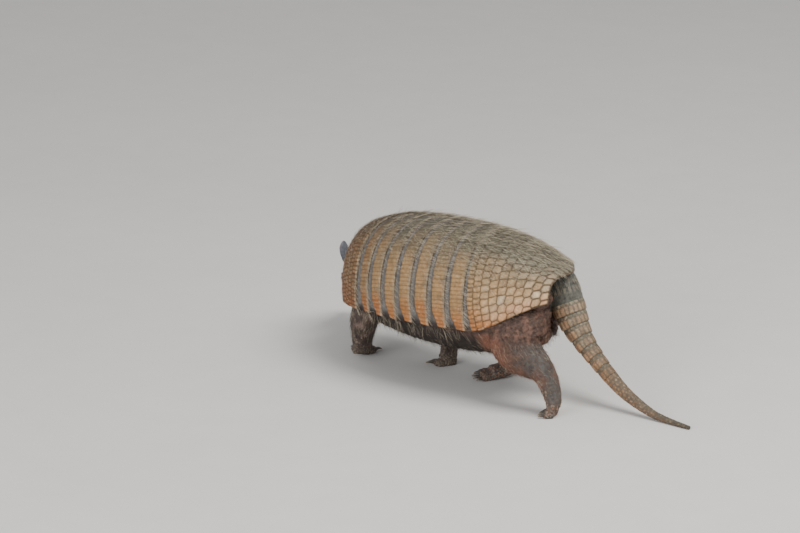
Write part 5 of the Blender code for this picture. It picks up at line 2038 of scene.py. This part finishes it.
class ArmadilloShellPieces(bpy.types.Operator):
    """Build the scutes of the shoulder shield, the movable bands, the pelvic shield and the neck"""
    bl_idname = "armadillo.shell"
    bl_label = "Shell scutes"

    def execute(self, context):
        shell = context.scene.armadillo_shell
        finish = finish_named("scute_horn", "horn")
        build_shoulder(shell, finish)
        build_bands(shell, finish)
        build_pelvic(shell, finish)
        build_nuchal(shell, finish)
        build_head_shield(shell, finish)
        return {"FINISHED"}


class ArmadilloSkinPiece(bpy.types.Operator):
    """Build the one skin over the trunk, neck, head, ears, legs and tail root"""
    bl_idname = "armadillo.skin"
    bl_label = "Skin"

    def execute(self, context):
        build_skin(context.scene.armadillo_skin, finish_named("leathery_skin", "skin"))
        return {"FINISHED"}


class ArmadilloEyes(bpy.types.Operator):
    """Build both eyes"""
    bl_idname = "armadillo.eyes"
    bl_label = "Eyes"

    def execute(self, context):
        build_eyes(finish_named("wet_eye", "eye"))
        return {"FINISHED"}


class ArmadilloClaws(bpy.types.Operator):
    """Build the claws of all four feet"""
    bl_idname = "armadillo.claws"
    bl_label = "Claws"

    def execute(self, context):
        build_claws(finish_named("claw_horn", "claw"))
        return {"FINISHED"}


class ArmadilloTail(bpy.types.Operator):
    """Build the tail's rings and its small scutes"""
    bl_idname = "armadillo.tail"
    bl_label = "Tail scutes"

    def execute(self, context):
        build_tail(context.scene.armadillo_shell, finish_named("scute_horn", "horn"))
        return {"FINISHED"}


class ArmadilloScales(bpy.types.Operator):
    """Build the small scales of the legs, feet and cheeks; the skin comes first"""
    bl_idname = "armadillo.scales"
    bl_label = "Leg scales"

    def execute(self, context):
        skin = context.scene.armadillo_skin
        build_scales(skin, bpy.data.objects["skin"], finish_named("scute_horn", "horn"))
        return {"FINISHED"}


class ArmadilloShellBristles(bpy.types.Operator):
    """Build the bristles of the shell"""
    bl_idname = "armadillo.shell_bristles"
    bl_label = "Shell bristles"

    def execute(self, context):
        build_shell_bristles(context.scene.armadillo_coat, finish_named("bristle", "bristle"))
        return {"FINISHED"}


class ArmadilloBodyBristles(bpy.types.Operator):
    """Build the hair of the belly, legs, head and tail; the skin comes first"""
    bl_idname = "armadillo.body_bristles"
    bl_label = "Body bristles"

    def execute(self, context):
        coat = context.scene.armadillo_coat
        build_body_bristles(coat, bpy.data.objects["skin"], finish_named("bristle", "bristle"))
        return {"FINISHED"}


class ArmadilloStagePieces(bpy.types.Operator):
    """Set up the floor, the camera and the lights"""
    bl_idname = "armadillo.stage"
    bl_label = "Stage"

    def execute(self, context):
        stage = context.scene.armadillo_stage
        build_stage(stage, finish_named("pale_floor", "floor", tuple(stage.floor_colour)))
        return {"FINISHED"}


OPERATORS = (
    ArmadilloShellPieces,
    ArmadilloSkinPiece,
    ArmadilloEyes,
    ArmadilloClaws,
    ArmadilloTail,
    ArmadilloScales,
    ArmadilloShellBristles,
    ArmadilloBodyBristles,
    ArmadilloStagePieces,
)


class ArmadilloPanel(bpy.types.Panel):
    bl_idname = "VIEW3D_PT_armadillo"
    bl_label = "Banded armadillo"
    bl_space_type = "VIEW_3D"
    bl_region_type = "UI"
    bl_category = "Armadillo"

    def draw(self, context):
        for operator in OPERATORS:
            self.layout.operator(operator.bl_idname)
        for name, kind in SETTINGS.items():
            box = self.layout.box()
            settings = getattr(context.scene, name)
            for setting in kind.__annotations__:
                box.prop(settings, setting)


def register():
    for kind in (*SETTINGS.values(), *OPERATORS, ArmadilloPanel):
        bpy.utils.register_class(kind)
    for name, kind in SETTINGS.items():
        setattr(bpy.types.Scene, name, PointerProperty(type=kind))


def unregister():
    for name in SETTINGS:
        delattr(bpy.types.Scene, name)
    for kind in (ArmadilloPanel, *reversed(OPERATORS), *reversed(SETTINGS.values())):
        bpy.utils.unregister_class(kind)


def main():
    register()
    for operator in OPERATORS:
        group, name = operator.bl_idname.split(".")
        getattr(getattr(bpy.ops, group), name)()


FINISHES = Finishes()

if __name__ == "__main__":
    main()
